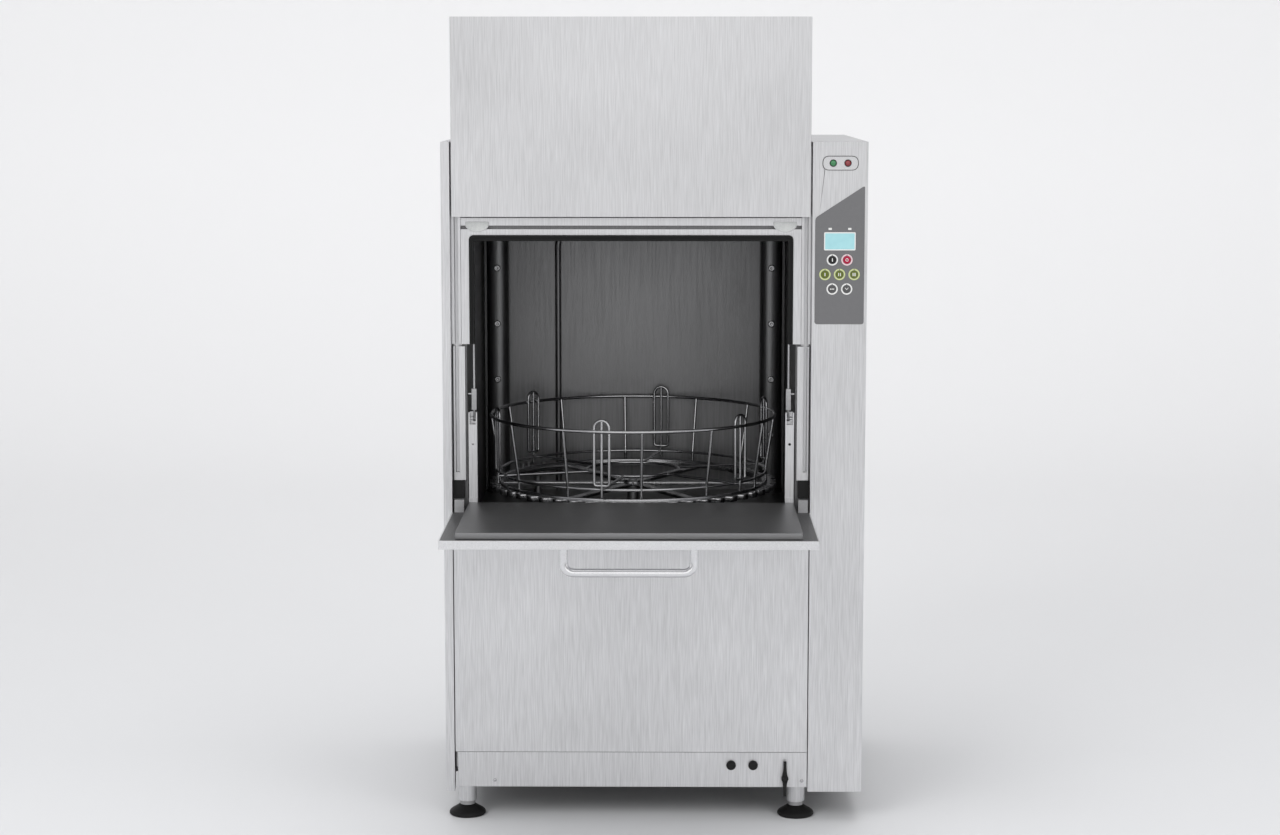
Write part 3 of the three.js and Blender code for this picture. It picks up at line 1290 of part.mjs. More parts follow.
place(bay, 'roof_panel', roofPanel(), brushed);
place(bay, 'rear_panel', rearPanel(), brushed);
place(bay, 'base_frame', baseFrame(), darkSteel);
for (const [end, y] of [['front', LEG_SETBACK], ['rear', legBackY]]) {
  for (const [side, x] of [['left', -legX], ['right', legX]]) {
    place(bay, `${end}_${side}_foot`, levellingFoot(), blackRubber).position.set(x, y, 0);
  }
}
place(bay, 'lower_front_panel', lowerFrontPanel(), brushed);
place(bay, 'kick_panel', kickPanel(), brushed);
PLUG_OFFSETS.forEach((x, index) => {
  place(bay, `service_plug_${index + 1}`, servicePlug(), blackPlastic)
    .position.set(x, 0, PLUG_HEIGHT);
});
place(bay, 'drain_valve', drainValve(), castGrey);
place(bay, 'drain_lever', drainLever(), blackPlastic).position.set(VALVE_OFFSET, 0, VALVE_HEIGHT);

place(bay, 'wash_chamber', washChamber(), chamberSteel);
place(bay, 'chamber_frame', chamberFrame(), brushed);
place(bay, 'upper_gasket', upperGasket(), blackRubber);
place(bay, 'door_header', doorHeader(), brushed);
placePair(bay, 'guide_rail', guideRail(), brushed);
placePair(bay, 'rail_end_block', railEndBlock(), blackPlastic);
placePair(bay, 'hinge_bracket', hingeBracket(), castGrey);
placePair(bay, 'wash_pipe', washPipe(), chamberSteel);
place(bay, 'rinse_pipe', rinsePipe(), chamberSteel);
place(bay, 'strainer', strainer(), chamberSteel);
place(bay, 'wash_tank', washTank(), chamberSteel);
place(bay, 'wash_pump', washPump(), paintedGrey);
place(bay, 'booster_heater', boosterHeater(), chamberSteel);
place(bay, 'gearmotor', gearmotor(), paintedGrey);
place(bay, 'turntable_spindle', turntableSpindle(), darkSteel);

place(bay, 'drive_pinion', drivePinion(), castGrey).position.set(pinion.x, pinion.y, 0);
place(table, 'turntable', turntable(), chamberSteel);
place(table, 'basket', basket(), wireSteel);

place(lowerDoor, 'lower_door_shell', lowerDoorShell(), brushed);
place(lowerDoor, 'lower_door_liner', lowerDoorLiner(), chamberSteel);
place(lowerDoor, 'lower_door_handle', lowerDoorHandle(), wireSteel);
placePair(lowerDoor, 'crank_arm', crankArm(), brushed);
const rods = new THREE.Group(); // drawn from the lift rods' lower pivots
rods.position.set(0, pivotBack, pivotUp);
lowerDoor.add(rods);
placePair(rods, 'lift_rod', liftRod(), wireSteel);
place(upperDoor, 'upper_door_skin', upperDoorSkin(), brushed);
place(upperDoor, 'upper_door_liner', upperDoorLiner(), brushed);

// The origin lies under the middle of the outline, from the lower door's lip to the back.
machine.position.y = -(lipFront + BODY_DEPTH) / 2;

export default machine;
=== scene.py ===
"""Looks of a front-loading pot washer: bright wire basket on a toothed turntable, open split door."""

import json
import math
from collections import namedtuple

import bmesh
import bpy
from mathutils import Euler, Matrix, Vector

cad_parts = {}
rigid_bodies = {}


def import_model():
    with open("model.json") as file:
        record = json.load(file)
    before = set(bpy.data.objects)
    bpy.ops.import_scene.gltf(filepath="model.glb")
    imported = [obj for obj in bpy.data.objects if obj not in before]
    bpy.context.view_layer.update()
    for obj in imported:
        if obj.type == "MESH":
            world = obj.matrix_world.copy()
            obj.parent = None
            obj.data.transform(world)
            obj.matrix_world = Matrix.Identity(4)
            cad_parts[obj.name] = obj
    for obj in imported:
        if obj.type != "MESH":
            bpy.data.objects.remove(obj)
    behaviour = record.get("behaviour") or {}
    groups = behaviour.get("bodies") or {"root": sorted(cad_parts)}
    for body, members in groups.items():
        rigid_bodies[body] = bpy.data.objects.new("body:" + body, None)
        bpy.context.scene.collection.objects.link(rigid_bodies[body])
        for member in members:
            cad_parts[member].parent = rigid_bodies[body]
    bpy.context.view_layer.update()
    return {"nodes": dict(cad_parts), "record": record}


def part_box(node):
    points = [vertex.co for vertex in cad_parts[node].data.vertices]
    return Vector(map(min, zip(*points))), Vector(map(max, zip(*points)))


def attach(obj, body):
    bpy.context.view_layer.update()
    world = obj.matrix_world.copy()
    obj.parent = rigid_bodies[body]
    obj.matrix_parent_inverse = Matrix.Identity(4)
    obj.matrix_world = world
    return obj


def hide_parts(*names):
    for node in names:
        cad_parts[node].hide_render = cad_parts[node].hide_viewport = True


MM = 0.001

# Camera: place in metres, lens in millimetres, turns in degrees.
CAMERA_PLACE = (0.0214, -6.3205, 1.8054)
CAMERA_LENS = 71.9
CAMERA_DOWN = 7.48
CAMERA_LEFT = 0.516

# Studio, in metres. The paper's tone runs from the floor's to the backdrop's between two distances.
FLOOR_SIZE = 30.0
FLOOR_RISE = 12.0
FLOOR_BEND = 4.0
BEND_STEPS = 16
BACKDROP_Y = 9.0
FADE_START = 0.5
FADE_END = BACKDROP_Y - 1
FLOOR_TONE = (0.60, 0.605, 0.615)
BACKDROP_TONE = (0.95, 0.95, 0.955)
PAPER_ROUGHNESS = 0.7

# Surround: tone by how far a direction leans sideways or up, from 0 to 1. The grey band between the
# white parts gives the steel something dark to reflect.
SURROUND_STRENGTH = 1.3
SURROUND_WHITE = (1.0, 1.0, 1.0)
SURROUND_BAND = (0.36, 0.36, 0.37)
SURROUND_TONES = [
    (0.45, SURROUND_WHITE), (0.6, SURROUND_BAND), (0.86, SURROUND_BAND), (0.97, SURROUND_WHITE)]

# Lights: place, target, width and height in metres, and power in watts.
LIGHTS = {
    "key_light": ((-3.2, -4.6, 4.2), (0, 0, 0.9), 3.2, 180),
    "fill_light": ((3.6, -4.2, 2.6), (0, 0, 0.9), 3, 90),
    "top_light": ((0, 0.2, 5.2), (0, 0.2, 0.9), 4, 110),
}

# Softened edges. Only edges that bend by more than the angle, in degrees, are rounded.
WELD_GAP = 0.01 * MM
NODE_EDGE = 0.8 * MM
TURNED_EDGE = 0.35 * MM
SOFTEN_ANGLE = 32
FLAT_FACE_WEIGHT = 100

# Textures: noise mostly lies between these two values. Reliefs are the height of a full bump.
NOISE_LOW = 0.3
NOISE_HIGH = 0.7
BRUSHED_RELIEF = 0.2 * MM
MOTTLED_RELIEF = 0.3 * MM
STREAK_DETAIL = 4.0
CLOUD_DETAIL = 2.0
CLOUD_SCALE = 2.6
CLOUD_SHARE = 0.3
BROAD_SCALE = 1 / 14
BROAD_SHARE = 0.5
COOL_BLUE = 1.015

# Steps round a circle, and roundness of a wire's section.
RING_STEPS = 120
BASE_STEPS = 96
EYE_STEPS = 40
STOUT_WIRE = 5
TUBE = 8

# Basket. Turns are in degrees from the front.
WIRE = 3.6 * MM
RIM_WIRE = 4.2 * MM
RIM_RADIUS = 365 * MM
HUB_RING = 120 * MM
BASE_RING = 343 * MM
STAY_BEND = 14 * MM
LOOP_INSET = 5 * MM
LOOP_HALF = 19 * MM
LOOP_RISE = 27 * MM
LOOP_FOOT = 12 * MM
LOOP_CORNER = 7 * MM
LOOP_STEPS = 16
LOOP_WIRE_DROP = 2 * MM
BASKET_LIFT = 18.1 * MM
BAYS = 6
BASKET_TURN = -11.6
STAY_TURN = 15.7

# Turntable: notched ring, wire lip, flat spokes and hub.
TEETH = 54
TOOTH_PITCH = 366 * MM
TOOTH_TIP = 4 * MM
TOOTH_RADIUS = 11 * MM
TOOTH_DEPTH = 12.6 * MM
TOOTH_STEPS = 4
RING_INNER = 334 * MM
RING_THICK = 13 * MM
RING_DROP = 11.5 * MM
LIP_RADIUS = 343 * MM
LIP_WIRE = 3.9 * MM
SPOKES = 3
SPOKE_HALF = 12 * MM
SPOKE_LAP = 4 * MM
SPOKE_CORNER = 4 * MM
SPOKE_THICK = 8 * MM
SPOKE_RISE = 12 * MM
TABLE_EDGE = 0.8 * MM
HUB_RADIUS = 26 * MM
HUB_DROP = 4 * MM
HUB_RIM = [(0, 3), (3, 0)]

# Lantern pinion: shaft, disc and round pins.
PINION_PINS = 6
PINION_PITCH = 40.67 * MM
PIN_RADIUS = 6 * MM
PIN_RIM = [(0, 1), (1, 0)]
PIN_ROOT = 9 * MM
SHAFT_RADIUS = 9 * MM
DISC_RADIUS = 50.6 * MM
DISC_THICK = 9.9 * MM
DISC_DROP = 22 * MM

# Handle and lift rods. Heights on a rod are over its lower pivot.
HANDLE_RADIUS = 10 * MM
HANDLE_BEND = 40 * MM
TUBE_BEND_STEPS = 14
ROD_RADIUS = 3.25 * MM
ROD_FOOT = 73 * MM
ROD_HEAD_GAP = 5 * MM
EYE_RADIUS = 6.7 * MM
EYE_BORE = 4.1 * MM
EYE_THICK = 6.4 * MM
BLOCK_HALF = 6.25 * MM
BLOCK_CORNER = 1.2 * MM
BLOCK_TALL = 52 * MM
BLOCK_MIDDLE = 47 * MM
BLOCK_EDGE = 0.6 * MM
NECK_HALF_X = 2.6 * MM
NECK_HALF_Y = 5 * MM
NECK_CORNER = 1 * MM
NECK_TALL = 18 * MM
NECK_MIDDLE = 13 * MM
STUD_RADIUS = 2.5 * MM
STUD_HEIGHT = 60 * MM
SMALL_EDGE = 0.5 * MM
ADJUSTER_SETBACK = 21 * MM
ADJUSTER_DROP = 78 * MM

# Chamber fittings.
SEAL_SIDE = 12 * MM
SEAL_TOP = 14 * MM
SEAL_OUTER_CORNER = 12 * MM
SEAL_INNER_CORNER = 4 * MM
SEAL_BEAD_CORNER = 9 * MM
SEAL_BEAD_RADIUS = 2.1 * MM
SEAL_BEAD_SINK = 2.2 * MM
SEAL_BEAD_RISE = 3 * MM
SEAL_SETBACK = 1.5 * MM
SEAL_EDGE = 1.2 * MM
SPRAY_RADIUS = 30 * MM
SPRAY_RIM = [(0, 4), (1.2, 1.2), (4, 0)]
COLLAR_WIDER = 3 * MM
COLLAR_TALL = 12 * MM
COLLAR_RIM = [(0, 3), (3, 0)]
NOZZLES = 4
NOZZLE_FIRST = 160.2 * MM
NOZZLE_PITCH = 150 * MM
NOZZLE_RADIUS = 9 * MM
NOZZLE_ROOT = 4 * MM
NOZZLE_RIM = [(0, 2), (2, 0), (5.6, 0), (6.6, 3)]
RINSE_RADIUS = 8 * MM
RINSE_BEND = 60 * MM
TAB_PLACE = 370 * MM
TAB_HALF = 28 * MM
TAB_DEEP = 21 * MM
TAB_OVER = 3 * MM
TAB_STEPS = 24
TAB_THICK = 2.6 * MM
TAB_SINK = 0.7 * MM

# Control panel.
OVERLAY_CORNER = 7 * MM
OVERLAY_LEFT_DROP = 77 * MM
OVERLAY_EDGE = 0.35 * MM
WINDOW_INSET = 2.4 * MM
WINDOW_THICK = 5 * MM
WINDOW_SINK = 0.15 * MM
WINDOW_CORNER = 1.5 * MM
WINDOW_EDGE = 0.3 * MM
BORDER_WIDTH = 2.6 * MM
BORDER_CORNER = 3 * MM
BORDER_THICK = 1.2 * MM
BORDER_EDGE = 0.25 * MM
MARK_SHIFT = 0.62
MARK_HALF_X = 4 * MM
MARK_HALF_Z = 2.4 * MM
MARK_CORNER = 1 * MM
MARK_THICK = 0.6 * MM
MARK_EDGE = 0.1 * MM
MARK_SINK = 0.5 * MM
MARK_RISE = 8 * MM
STADIUM_STEPS = 14
PLATE_BORDER = 1.5 * MM
PLATE_LAP = 0.1 * MM
PLATE_EDGE = 0.3 * MM
OUTLINE_EDGE = 0.2 * MM
LENS_INSET = 2 * MM
LENS_ROOT = 2.4 * MM

# Keys: slot, ring finish and raised sign of each, then the sizes they share.
KEYS = {
    "start_key": ("key_black", "pale_print", "bar"),
    "stop_key": ("key_red", "ring_pink", "ring"),
    "short_program_key": ("key_olive", "ring_olive", "bar"),
    "normal_program_key": ("key_olive", "ring_olive", "bars"),
    "long_program_key": ("key_olive", "ring_olive", "triple"),
    "granule_collect_key": ("key_grey", "pale_print", "dots"),
    "drain_key": ("key_grey", "pale_print", "chevron"),
}
KEY_RING_RIM = [(0, 1.1), (0.9, 0.3), (3.4, 0.5), (4.1, 1.5)]
KEY_DISC_INSET = 4.4 * MM
KEY_DISC_ROOT = 2.4 * MM
KEY_DISC_RIM = [(0, 0.9), (1.2, 0.45)]
KEY_DISC_CROWN = 0.25 * MM
KEY_LAMP_INSET = 2.3 * MM
KEY_LAMP_SINK = 1.4 * MM
SIGN_THICK = 0.5 * MM
SIGN_EDGE = 0.06 * MM
SIGN_SINK = 0.27 * MM

# Signs, in millimetres: bars as half width, corner and places; a ring; dots; and an outline.
BAR_SIGNS = {
    "bar": (1.1, 0.8, [0]),
    "bars": (0.9, 0.7, [-2.2, 2.2]),
    "triple": (0.8, 0.7, [-3, 0, 3]),
}
BAR_HALF_TALL = 4
RING_SIGN_RADII = (3.8, 2.4)
RING_SIGN_STEPS = 36
DOT_RADIUS = 1.5
DOT_PLACES = (-3.6, 0, 3.6)
DOT_STEPS = 20
CHEVRON = [(-4, 2), (0, -2.4), (4, 2), (4, 4), (0, -0.2), (-4, 4)]

# Plugs, drain lever and screws. The lever is widest at its pivot, and slims to a share of that
# width away from it; its swell is a share of its half length.
GRIP_SHARE = 0.55
GRIP_SIDES = 6
GRIP_CORNER = 1.5 * MM
GRIP_THICK = 4 * MM
GRIP_EDGE = 0.4 * MM
LEVER_HALF = 7 * MM
LEVER_END_GAP = 3 * MM
LEVER_SLIM = 0.55
LEVER_SWELL = 0.34
LEVER_STEPS = 12
LEVER_CORNER = 2 * MM
LEVER_THICK = 6 * MM
LEVER_EDGE = 0.8 * MM
LEVER_SINK = 8.5 * MM
KICK_SCREW_LEFT = 96 * MM
KICK_SCREW_RIGHT = 12 * MM
KICK_SCREW_RISE = 16 * MM

# Turned profiles as (radius, height), in millimetres.
ADJUSTER_PROFILE = [(0, -1), (3.4, -1), (3.4, 0.2), (2.8, 0.5), (1.5, 0.5), (1.2, -0.4), (0, -0.4)]
KEY_LAMP_PROFILE = [(0, 0), (1.5, 0), (1.5, 0.8), (0.8, 1.2), (0, 1.3)]
SCREW_PROFILE = [
    (0, -1), (4.5, -1), (4.5, 0.7), (3.87, 1.7), (2.25, 2.3), (1.6, 2.4), (1.2, 1.3), (0, 1.2)]
SHOE_PROFILE = [
    (0, 0), (42, 0), (45, 3), (45, 7), (43, 10.5), (40, 13), (27, 21), (21, 25), (18.5, 27), (0, 27)]
STEM_PROFILE = [(0, 26), (18.5, 26), (18.5, 36), (8, 36), (8, 76), (0, 76)]
SLEEVE_PROFILE = [(0, 36.2), (21.3, 36.2), (22.2, 37.2), (22.2, 84), (0, 84)]

# Turned rims as (inset from the full radius, drop from the front), in millimetres.
LAMP_COLLAR_RIM = [(2.2, 3.6), (0, 3.6), (0, 2), (1, 1.2), (2, 1.6)]

# Turned rims as (share of the full radius, drop from the front in millimetres). The lever's boss
# starts at its back, so its first part is (share, height).
LENS_RIM = [(1, 1.5), (0.86, 0.7), (0.5, 0.15)]
PLUG_RIM = [(0.7, 10), (1, 10), (1, 5), (0.9, 4), (0.9, 2), (0.72, 0.3)]
BOSS_FOOT = [(0.7, 0), (0.7, 5), (1, 6)]
BOSS_RIM = [(1, 6), (0.6, 2), (0.5, 0.3)]


# --- materials ---


def grey(level):
    """A slightly cool grey."""
    return (level, level, level * COOL_BLUE)


METAL = {"Metallic": 1.0}
DULL_METAL = {"Metallic": 0.9}
WET_COAT = {"Coat Weight": 0.8}
KEY_ROUGH = (0.34, 0.46)
PRINT_ROUGH = (0.40, 0.5)
MATT_BLACK = {"Specular IOR Level": 0.22}
SATIN_PLASTIC = {"Specular IOR Level": 0.25}
DISPLAY_GLOSS = {"Specular IOR Level": 0.3}
NYLON_COAT = {"Coat Weight": 0.3}
# Painted shade: dark and pale tone for the lower door shell's faces in from its folded edge, where shade
# falls.
SHELL_INSIDE_SHADE = (grey(0.13), grey(0.19))
SHELL_FOLD = 2.5 * MM

# Sheet steel: pale and dark tone, range of roughness, grain along x, y and z, bump strength.
SHEETS = {
    "brushed_panel": (grey(0.78), grey(0.54), (0.38, 0.52), (520, 520, 15), 0.12),
    "chamber_steel": (grey(0.25), grey(0.16), (0.32, 0.48), (260, 260, 9), 0.08),
    "flat_steel": (grey(0.33), grey(0.25), (0.36, 0.5), (16, 520, 520), 0.12),
    "door_shell": (grey(0.84), grey(0.62), (0.36, 0.5), (520, 15, 520), 0.12),
}

# The rest: pale and dark tone, range of roughness, texture scale per metre, bump strength, constants.
STUFFS = {
    "bright_wire": (grey(0.60), grey(0.47), (0.16, 0.28), 320, 0.05, METAL),
    "handle_tube": (grey(0.80), grey(0.70), (0.10, 0.18), 200, 0.03, METAL),
    "frame_steel": (grey(0.50), grey(0.34), (0.38, 0.55), 150, 0.1, METAL),
    "cast_metal": (grey(0.46), grey(0.34), (0.42, 0.58), 500, 0.5, DULL_METAL),
    "painted_housing": ((0.16, 0.18, 0.20), (0.12, 0.135, 0.15), (0.36, 0.5), 420, 0.35, {}),
    "black_rubber": (grey(0.010), grey(0.005), (0.52, 0.68), 380, 0.3, MATT_BLACK),
    "black_plastic": (grey(0.009), grey(0.004), (0.36, 0.5), 900, 0.2, SATIN_PLASTIC),
    "overlay_grey": ((0.128, 0.128, 0.132), (0.112, 0.112, 0.116), (0.44, 0.54), 1400, 0.12, {}),
    "display_glass": ((0.33, 0.57, 0.60), (0.27, 0.50, 0.54), (0.12, 0.2), 60, 0.0, DISPLAY_GLOSS),
    "green_lens": ((0.03, 0.20, 0.07), (0.015, 0.12, 0.04), (0.10, 0.2), 260, 0.05, WET_COAT),
    "red_lens": ((0.22, 0.012, 0.02), (0.12, 0.006, 0.01), (0.10, 0.2), 260, 0.05, WET_COAT),
    "key_black": (grey(0.016), grey(0.008), KEY_ROUGH, 1100, 0.15, SATIN_PLASTIC),
    "key_red": ((0.36, 0.008, 0.045), (0.26, 0.005, 0.03), KEY_ROUGH, 1100, 0.15, SATIN_PLASTIC),
    "key_olive": ((0.105, 0.13, 0.018), (0.075, 0.095, 0.012), KEY_ROUGH, 1100, 0.15, SATIN_PLASTIC),
    "key_grey": (grey(0.085), grey(0.06), KEY_ROUGH, 1100, 0.15, SATIN_PLASTIC),
    "pale_print": ((0.66, 0.66, 0.65), (0.58, 0.58, 0.57), PRINT_ROUGH, 1200, 0.05, {}),
    "ring_olive": ((0.50, 0.55, 0.26), (0.42, 0.47, 0.21), PRINT_ROUGH, 1200, 0.05, {}),
    "ring_pink": ((0.66, 0.50, 0.53), (0.58, 0.42, 0.45), PRINT_ROUGH, 1200, 0.05, {}),
    "clear_nylon": ((0.50, 0.51, 0.50), (0.34, 0.35, 0.35), (0.24, 0.36), 240, 0.08, NYLON_COAT),
}

# CAD nodes whose finish isn't simply their slot's.
NODE_FINISHES = {"lower_door_liner": "flat_steel", "lower_door_shell": "door_shell"}


def shader(name, sockets):
    """A new material with a Principled shader, and its constant values set on the shader's sockets."""
    material = bpy.data.materials.new(name)
    material.use_nodes = True
    tree = material.node_tree
    principled = tree.nodes["Principled BSDF"]
    for socket, value in sockets.items():
        principled.inputs[socket].default_value = value
    return material, tree, principled


def noise(tree, scale, detail, stretch=(1, 1, 1)):
    """Noise in the object's own coordinates, made finer along each axis by its stretch."""
    place = tree.nodes.new("ShaderNodeTexCoord")
    mapping = tree.nodes.new("ShaderNodeMapping")
    mapping.inputs["Scale"].default_value = stretch
    texture = tree.nodes.new("ShaderNodeTexNoise")
    texture.inputs["Scale"].default_value = scale
    texture.inputs["Detail"].default_value = detail
    tree.links.new(place.outputs["Object"], mapping.inputs["Vector"])
    tree.links.new(mapping.outputs["Vector"], texture.inputs["Vector"])
    return texture.outputs["Fac"]


def along_axes(tree, kind):
    """The X, Y and Z of the texture coordinates of that kind, by name."""
    place = tree.nodes.new("ShaderNodeTexCoord")
    split = tree.nodes.new("ShaderNodeSeparateXYZ")
    tree.links.new(place.outputs[kind], split.inputs["Vector"])
    return split.outputs


def worked_out(tree, operation, *values):
    """The result of a Math node over values, each a socket or a number."""
    node = tree.nodes.new("ShaderNodeMath")
    node.operation = operation
    for entry, value in zip(node.inputs, values):
        if isinstance(value, bpy.types.NodeSocket):
            tree.links.new(value, entry)
        else:
            entry.default_value = value
    return node.outputs["Value"]


def ramp(tree, value, stops):
    """A colour ramp over value, from (place, colour) stops."""
    node = tree.nodes.new("ShaderNodeValToRGB")
    band = node.color_ramp.elements
    while len(band) < len(stops):
        band.new(0.5)
    for element, (place, colour) in zip(band, stops):
        element.position = place
        element.color = (*colour, 1)
    tree.links.new(value, node.inputs["Fac"])
    return node.outputs["Color"]


def toned(tree, value, dark, pale):
    """A noise value as a colour between dark and pale."""
    return ramp(tree, value, [(NOISE_LOW, dark), (NOISE_HIGH, pale)])


def ranged(tree, value, source, target):
    """A value mapped from the source range to the target range."""
    node = tree.nodes.new("ShaderNodeMapRange")
    node.inputs["From Min"].default_value = source[0]
    node.inputs["From Max"].default_value = source[1]
    node.inputs["To Min"].default_value = target[0]
    node.inputs["To Max"].default_value = target[1]
    tree.links.new(value, node.inputs["Value"])
    return node.outputs["Result"]


def mixed(tree, first, second, share):
    """Two values mixed, with that share of the second."""
    node = tree.nodes.new("ShaderNodeMix")
    node.inputs["Factor"].default_value = share
    tree.links.new(first, node.inputs["A"])
    tree.links.new(second, node.inputs["B"])
    return node.outputs["Result"]


def textured(tree, principled, colour, rough_by, rough, relief_by, strength, height):
    """Links a shader's colour, its roughness over a range, and its bump."""
    bump = tree.nodes.new("ShaderNodeBump")
    bump.inputs["Strength"].default_value = strength
    bump.inputs["Distance"].default_value = height
    tree.links.new(relief_by, bump.inputs["Height"])
    roughness = ranged(tree, rough_by, (NOISE_LOW, NOISE_HIGH), rough)
    tree.links.new(colour, principled.inputs["Base Color"])
    tree.links.new(roughness, principled.inputs["Roughness"])
    tree.links.new(bump.outputs["Normal"], principled.inputs["Normal"])


def sheet(name, pale, dark, rough, grain, strength):
    """Brushed sheet steel: fine streaks over slow clouds."""
    material, tree, principled = shader(name, METAL)
    streaks = noise(tree, 1.0, STREAK_DETAIL, grain)
    clouds = noise(tree, CLOUD_SCALE, CLOUD_DETAIL)
    colour = toned(tree, mixed(tree, streaks, clouds, CLOUD_SHARE), dark, pale)
    textured(tree, principled, colour, streaks, rough, streaks, strength, BRUSHED_RELIEF)
    return material


def stuff(name, pale, dark, rough, scale, strength, sockets):
    """Cast, moulded, printed or painted stuff, and bright wire: an even fine mottle."""
    material, tree, principled = shader(name, sockets)
    fine = noise(tree, scale, STREAK_DETAIL)
    broad = noise(tree, scale * BROAD_SCALE, CLOUD_DETAIL)
    colour = toned(tree, mixed(tree, fine, broad, BROAD_SHARE), dark, pale)
    textured(tree, principled, colour, broad, rough, fine, strength, MOTTLED_RELIEF)
    return material


def paint_shell_inside_shade(material):
    """Paints shade on the lower door's shell: a darker tone on its faces in from the folded edge, where
    shade falls.
    """
    low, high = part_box("lower_door_shell")
    half_x = (high.x - low.x) / 2
    tree = material.node_tree
    base = tree.nodes["Principled BSDF"].inputs["Base Color"]
    outside = base.links[0].from_socket
    grain = SHEETS["door_shell"][3]
    # Painted shade: a dark brushed tone that stands for the shade in from the shell's folded edge.
    painted_shade = toned(tree, noise(tree, 1.0, STREAK_DETAIL, grain), *SHELL_INSIDE_SHADE)
    axes = along_axes(tree, "Object")
    over_sheet = worked_out(tree, "GREATER_THAN", axes["Z"], low.z + SHELL_FOLD)
    behind_lip = worked_out(tree, "GREATER_THAN", axes["Y"], low.y + SHELL_FOLD)
    between_sides = worked_out(tree, "COMPARE", axes["X"], low.x + half_x, half_x - SHELL_FOLD)
    framed = worked_out(tree, "MULTIPLY", over_sheet, between_sides)
    shade_mask = worked_out(tree, "MULTIPLY", framed, behind_lip)
    # Mixes the painted shade over the shell's own colour on the faces in from the fold.
    shade_blend = tree.nodes.new("ShaderNodeMixRGB")
    tree.links.new(shade_mask, shade_blend.inputs["Fac"])
    tree.links.new(outside, shade_blend.inputs["Color1"])
    tree.links.new(painted_shade, shade_blend.inputs["Color2"])
    tree.links.new(shade_blend.outputs["Color"], base)


def make_materials():
    """One material for each slot of the record, and a few for parts of the finer pieces."""
    made = {}
    for name, values in SHEETS.items():
        made[name] = sheet(name, *values)
    for name, values in STUFFS.items():
        made[name] = stuff(name, *values)
    paint_shell_inside_shade(made["door_shell"])
    return made


# --- places and lines ---


Box = namedtuple("Box", "low high centre size")


def measured(node):
    """A node's lowest and highest corner, centre and size at rest."""
    low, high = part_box(node)
    return Box(low, high, (low + high) / 2, high - low)


def upright(x, y, z):
    """A place whose own z is the object's z."""
    return Matrix.Translation((x, y, z))


def outward(x, y, z):
    """A place whose own z points out of the machine's front, and whose own y is up."""
    return Matrix.Translation((x, y, z)) @ Matrix.Rotation(math.pi / 2, 4, "X")


def sideways(x, y, z):
    """A place whose own z points to the machine's right."""
    return Matrix.Translation((x, y, z)) @ Matrix.Rotation(math.pi / 2, 4, "Y")


def rounded(points, bend, closed=False, steps=7):
    """The points with each corner turned into a curve that starts bend away from it."""
    line = [Vector(p) for p in points]
    count = len(line)
    out = []
    for index, corner in enumerate(line):
        if not closed and index in (0, count - 1):
            out.append(corner)
            continue
        before = line[index - 1] - corner
        after = line[(index + 1) % count] - corner
        reach = min(bend, before.length * 0.49, after.length * 0.49)
        start = corner + before.normalized() * reach
        end = corner + after.normalized() * reach
        for step in range(steps + 1):
            t = step / steps
            out.append(start * (1 - t) ** 2 + corner * 2 * t * (1 - t) + end * t ** 2)
    return out


def circle(radius, steps, centre=(0, 0, 0)):
    """Points of a level circle."""
    turns = [index * math.tau / steps for index in range(steps)]
    return [Vector(centre) + Vector((math.cos(a), math.sin(a), 0)) * radius for a in turns]


def rounded_box(half_x, half_y, corner, steps=7):
    """Outline of a rectangle with rounded corners, centred on its own origin."""
    corners = [(-half_x, -half_y, 0), (half_x, -half_y, 0), (half_x, half_y, 0), (-half_x, half_y, 0)]
    return rounded(corners, corner, closed=True, steps=steps)


def stadium(half_x, half_y):
    """Outline of a rectangle with round ends, centred on its own origin."""
    return rounded_box(half_x, half_y, half_y, STADIUM_STEPS)


def arch(half_x, bottom, top, corner):
    """Points up one side, over the top and down the other, with rounded top corners."""
    line = [(-half_x, bottom, 0), (-half_x, top, 0), (half_x, top, 0), (half_x, bottom, 0)]
    return rounded(line, corner, steps=9)


def shifted(outline, x):
    """The outline moved along its own x."""
    return [p + Vector((x, 0, 0)) for p in outline]


# --- profiles of turned pieces, as (radius, height) ---


def in_metres(profile):
    """A profile in millimetres, in metres."""
    return [(radius * MM, height * MM) for radius, height in profile]


def inset(radius, rim):
    """A rim of (inset, drop) in millimetres, as (radius, drop) in metres."""
    return [(radius - inwards * MM, drop * MM) for inwards, drop in rim]


def shared(radius, rim):
    """A rim of (share of radius, drop in millimetres), as (radius, drop) in metres."""
    return [(radius * share, drop * MM) for share, drop in rim]


def capped(rim, top, foot=0.0, crown=None):
    """A profile from the foot straight up to a rim that hangs below top, and in to the axis.

    The middle is level with the rim's last point, or hangs crown below top.
    """
    line = [(0, foot), (rim[0][0], foot)]
    line.extend((radius, top - drop) for radius, drop in rim)
    last_drop = rim[-1][1] if crown is None else crown
    line.append((0, top - last_drop))
    return line


# --- pieces from lines ---


def linked(name, data):
    """A new object in the scene."""
    item = bpy.data.objects.new(name, data)
    bpy.context.scene.collection.objects.link(item)
    return item


def finished(item, materials, body, slot, finish=None, replaced=()):
    """item as a piece: on its body, with its slot's finish or another, and the nodes it replaces."""
    item.data.materials.clear()
    item.data.materials.append(materials[finish or slot])
    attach(item, body)
    if replaced:
        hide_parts(*replaced)
    return item


def soften(item, width):
    """Rounds the sharp edges, and keeps flat faces flat."""
    bevel = item.modifiers.new("soft_edges", "BEVEL")
    bevel.width = width
    bevel.segments = 2
    bevel.limit_method = "ANGLE"
    bevel.angle_limit = math.radians(SOFTEN_ANGLE)
    even = item.modifiers.new("even_normals", "WEIGHTED_NORMAL")
    even.weight = FLAT_FACE_WEIGHT
    even.keep_sharp = False


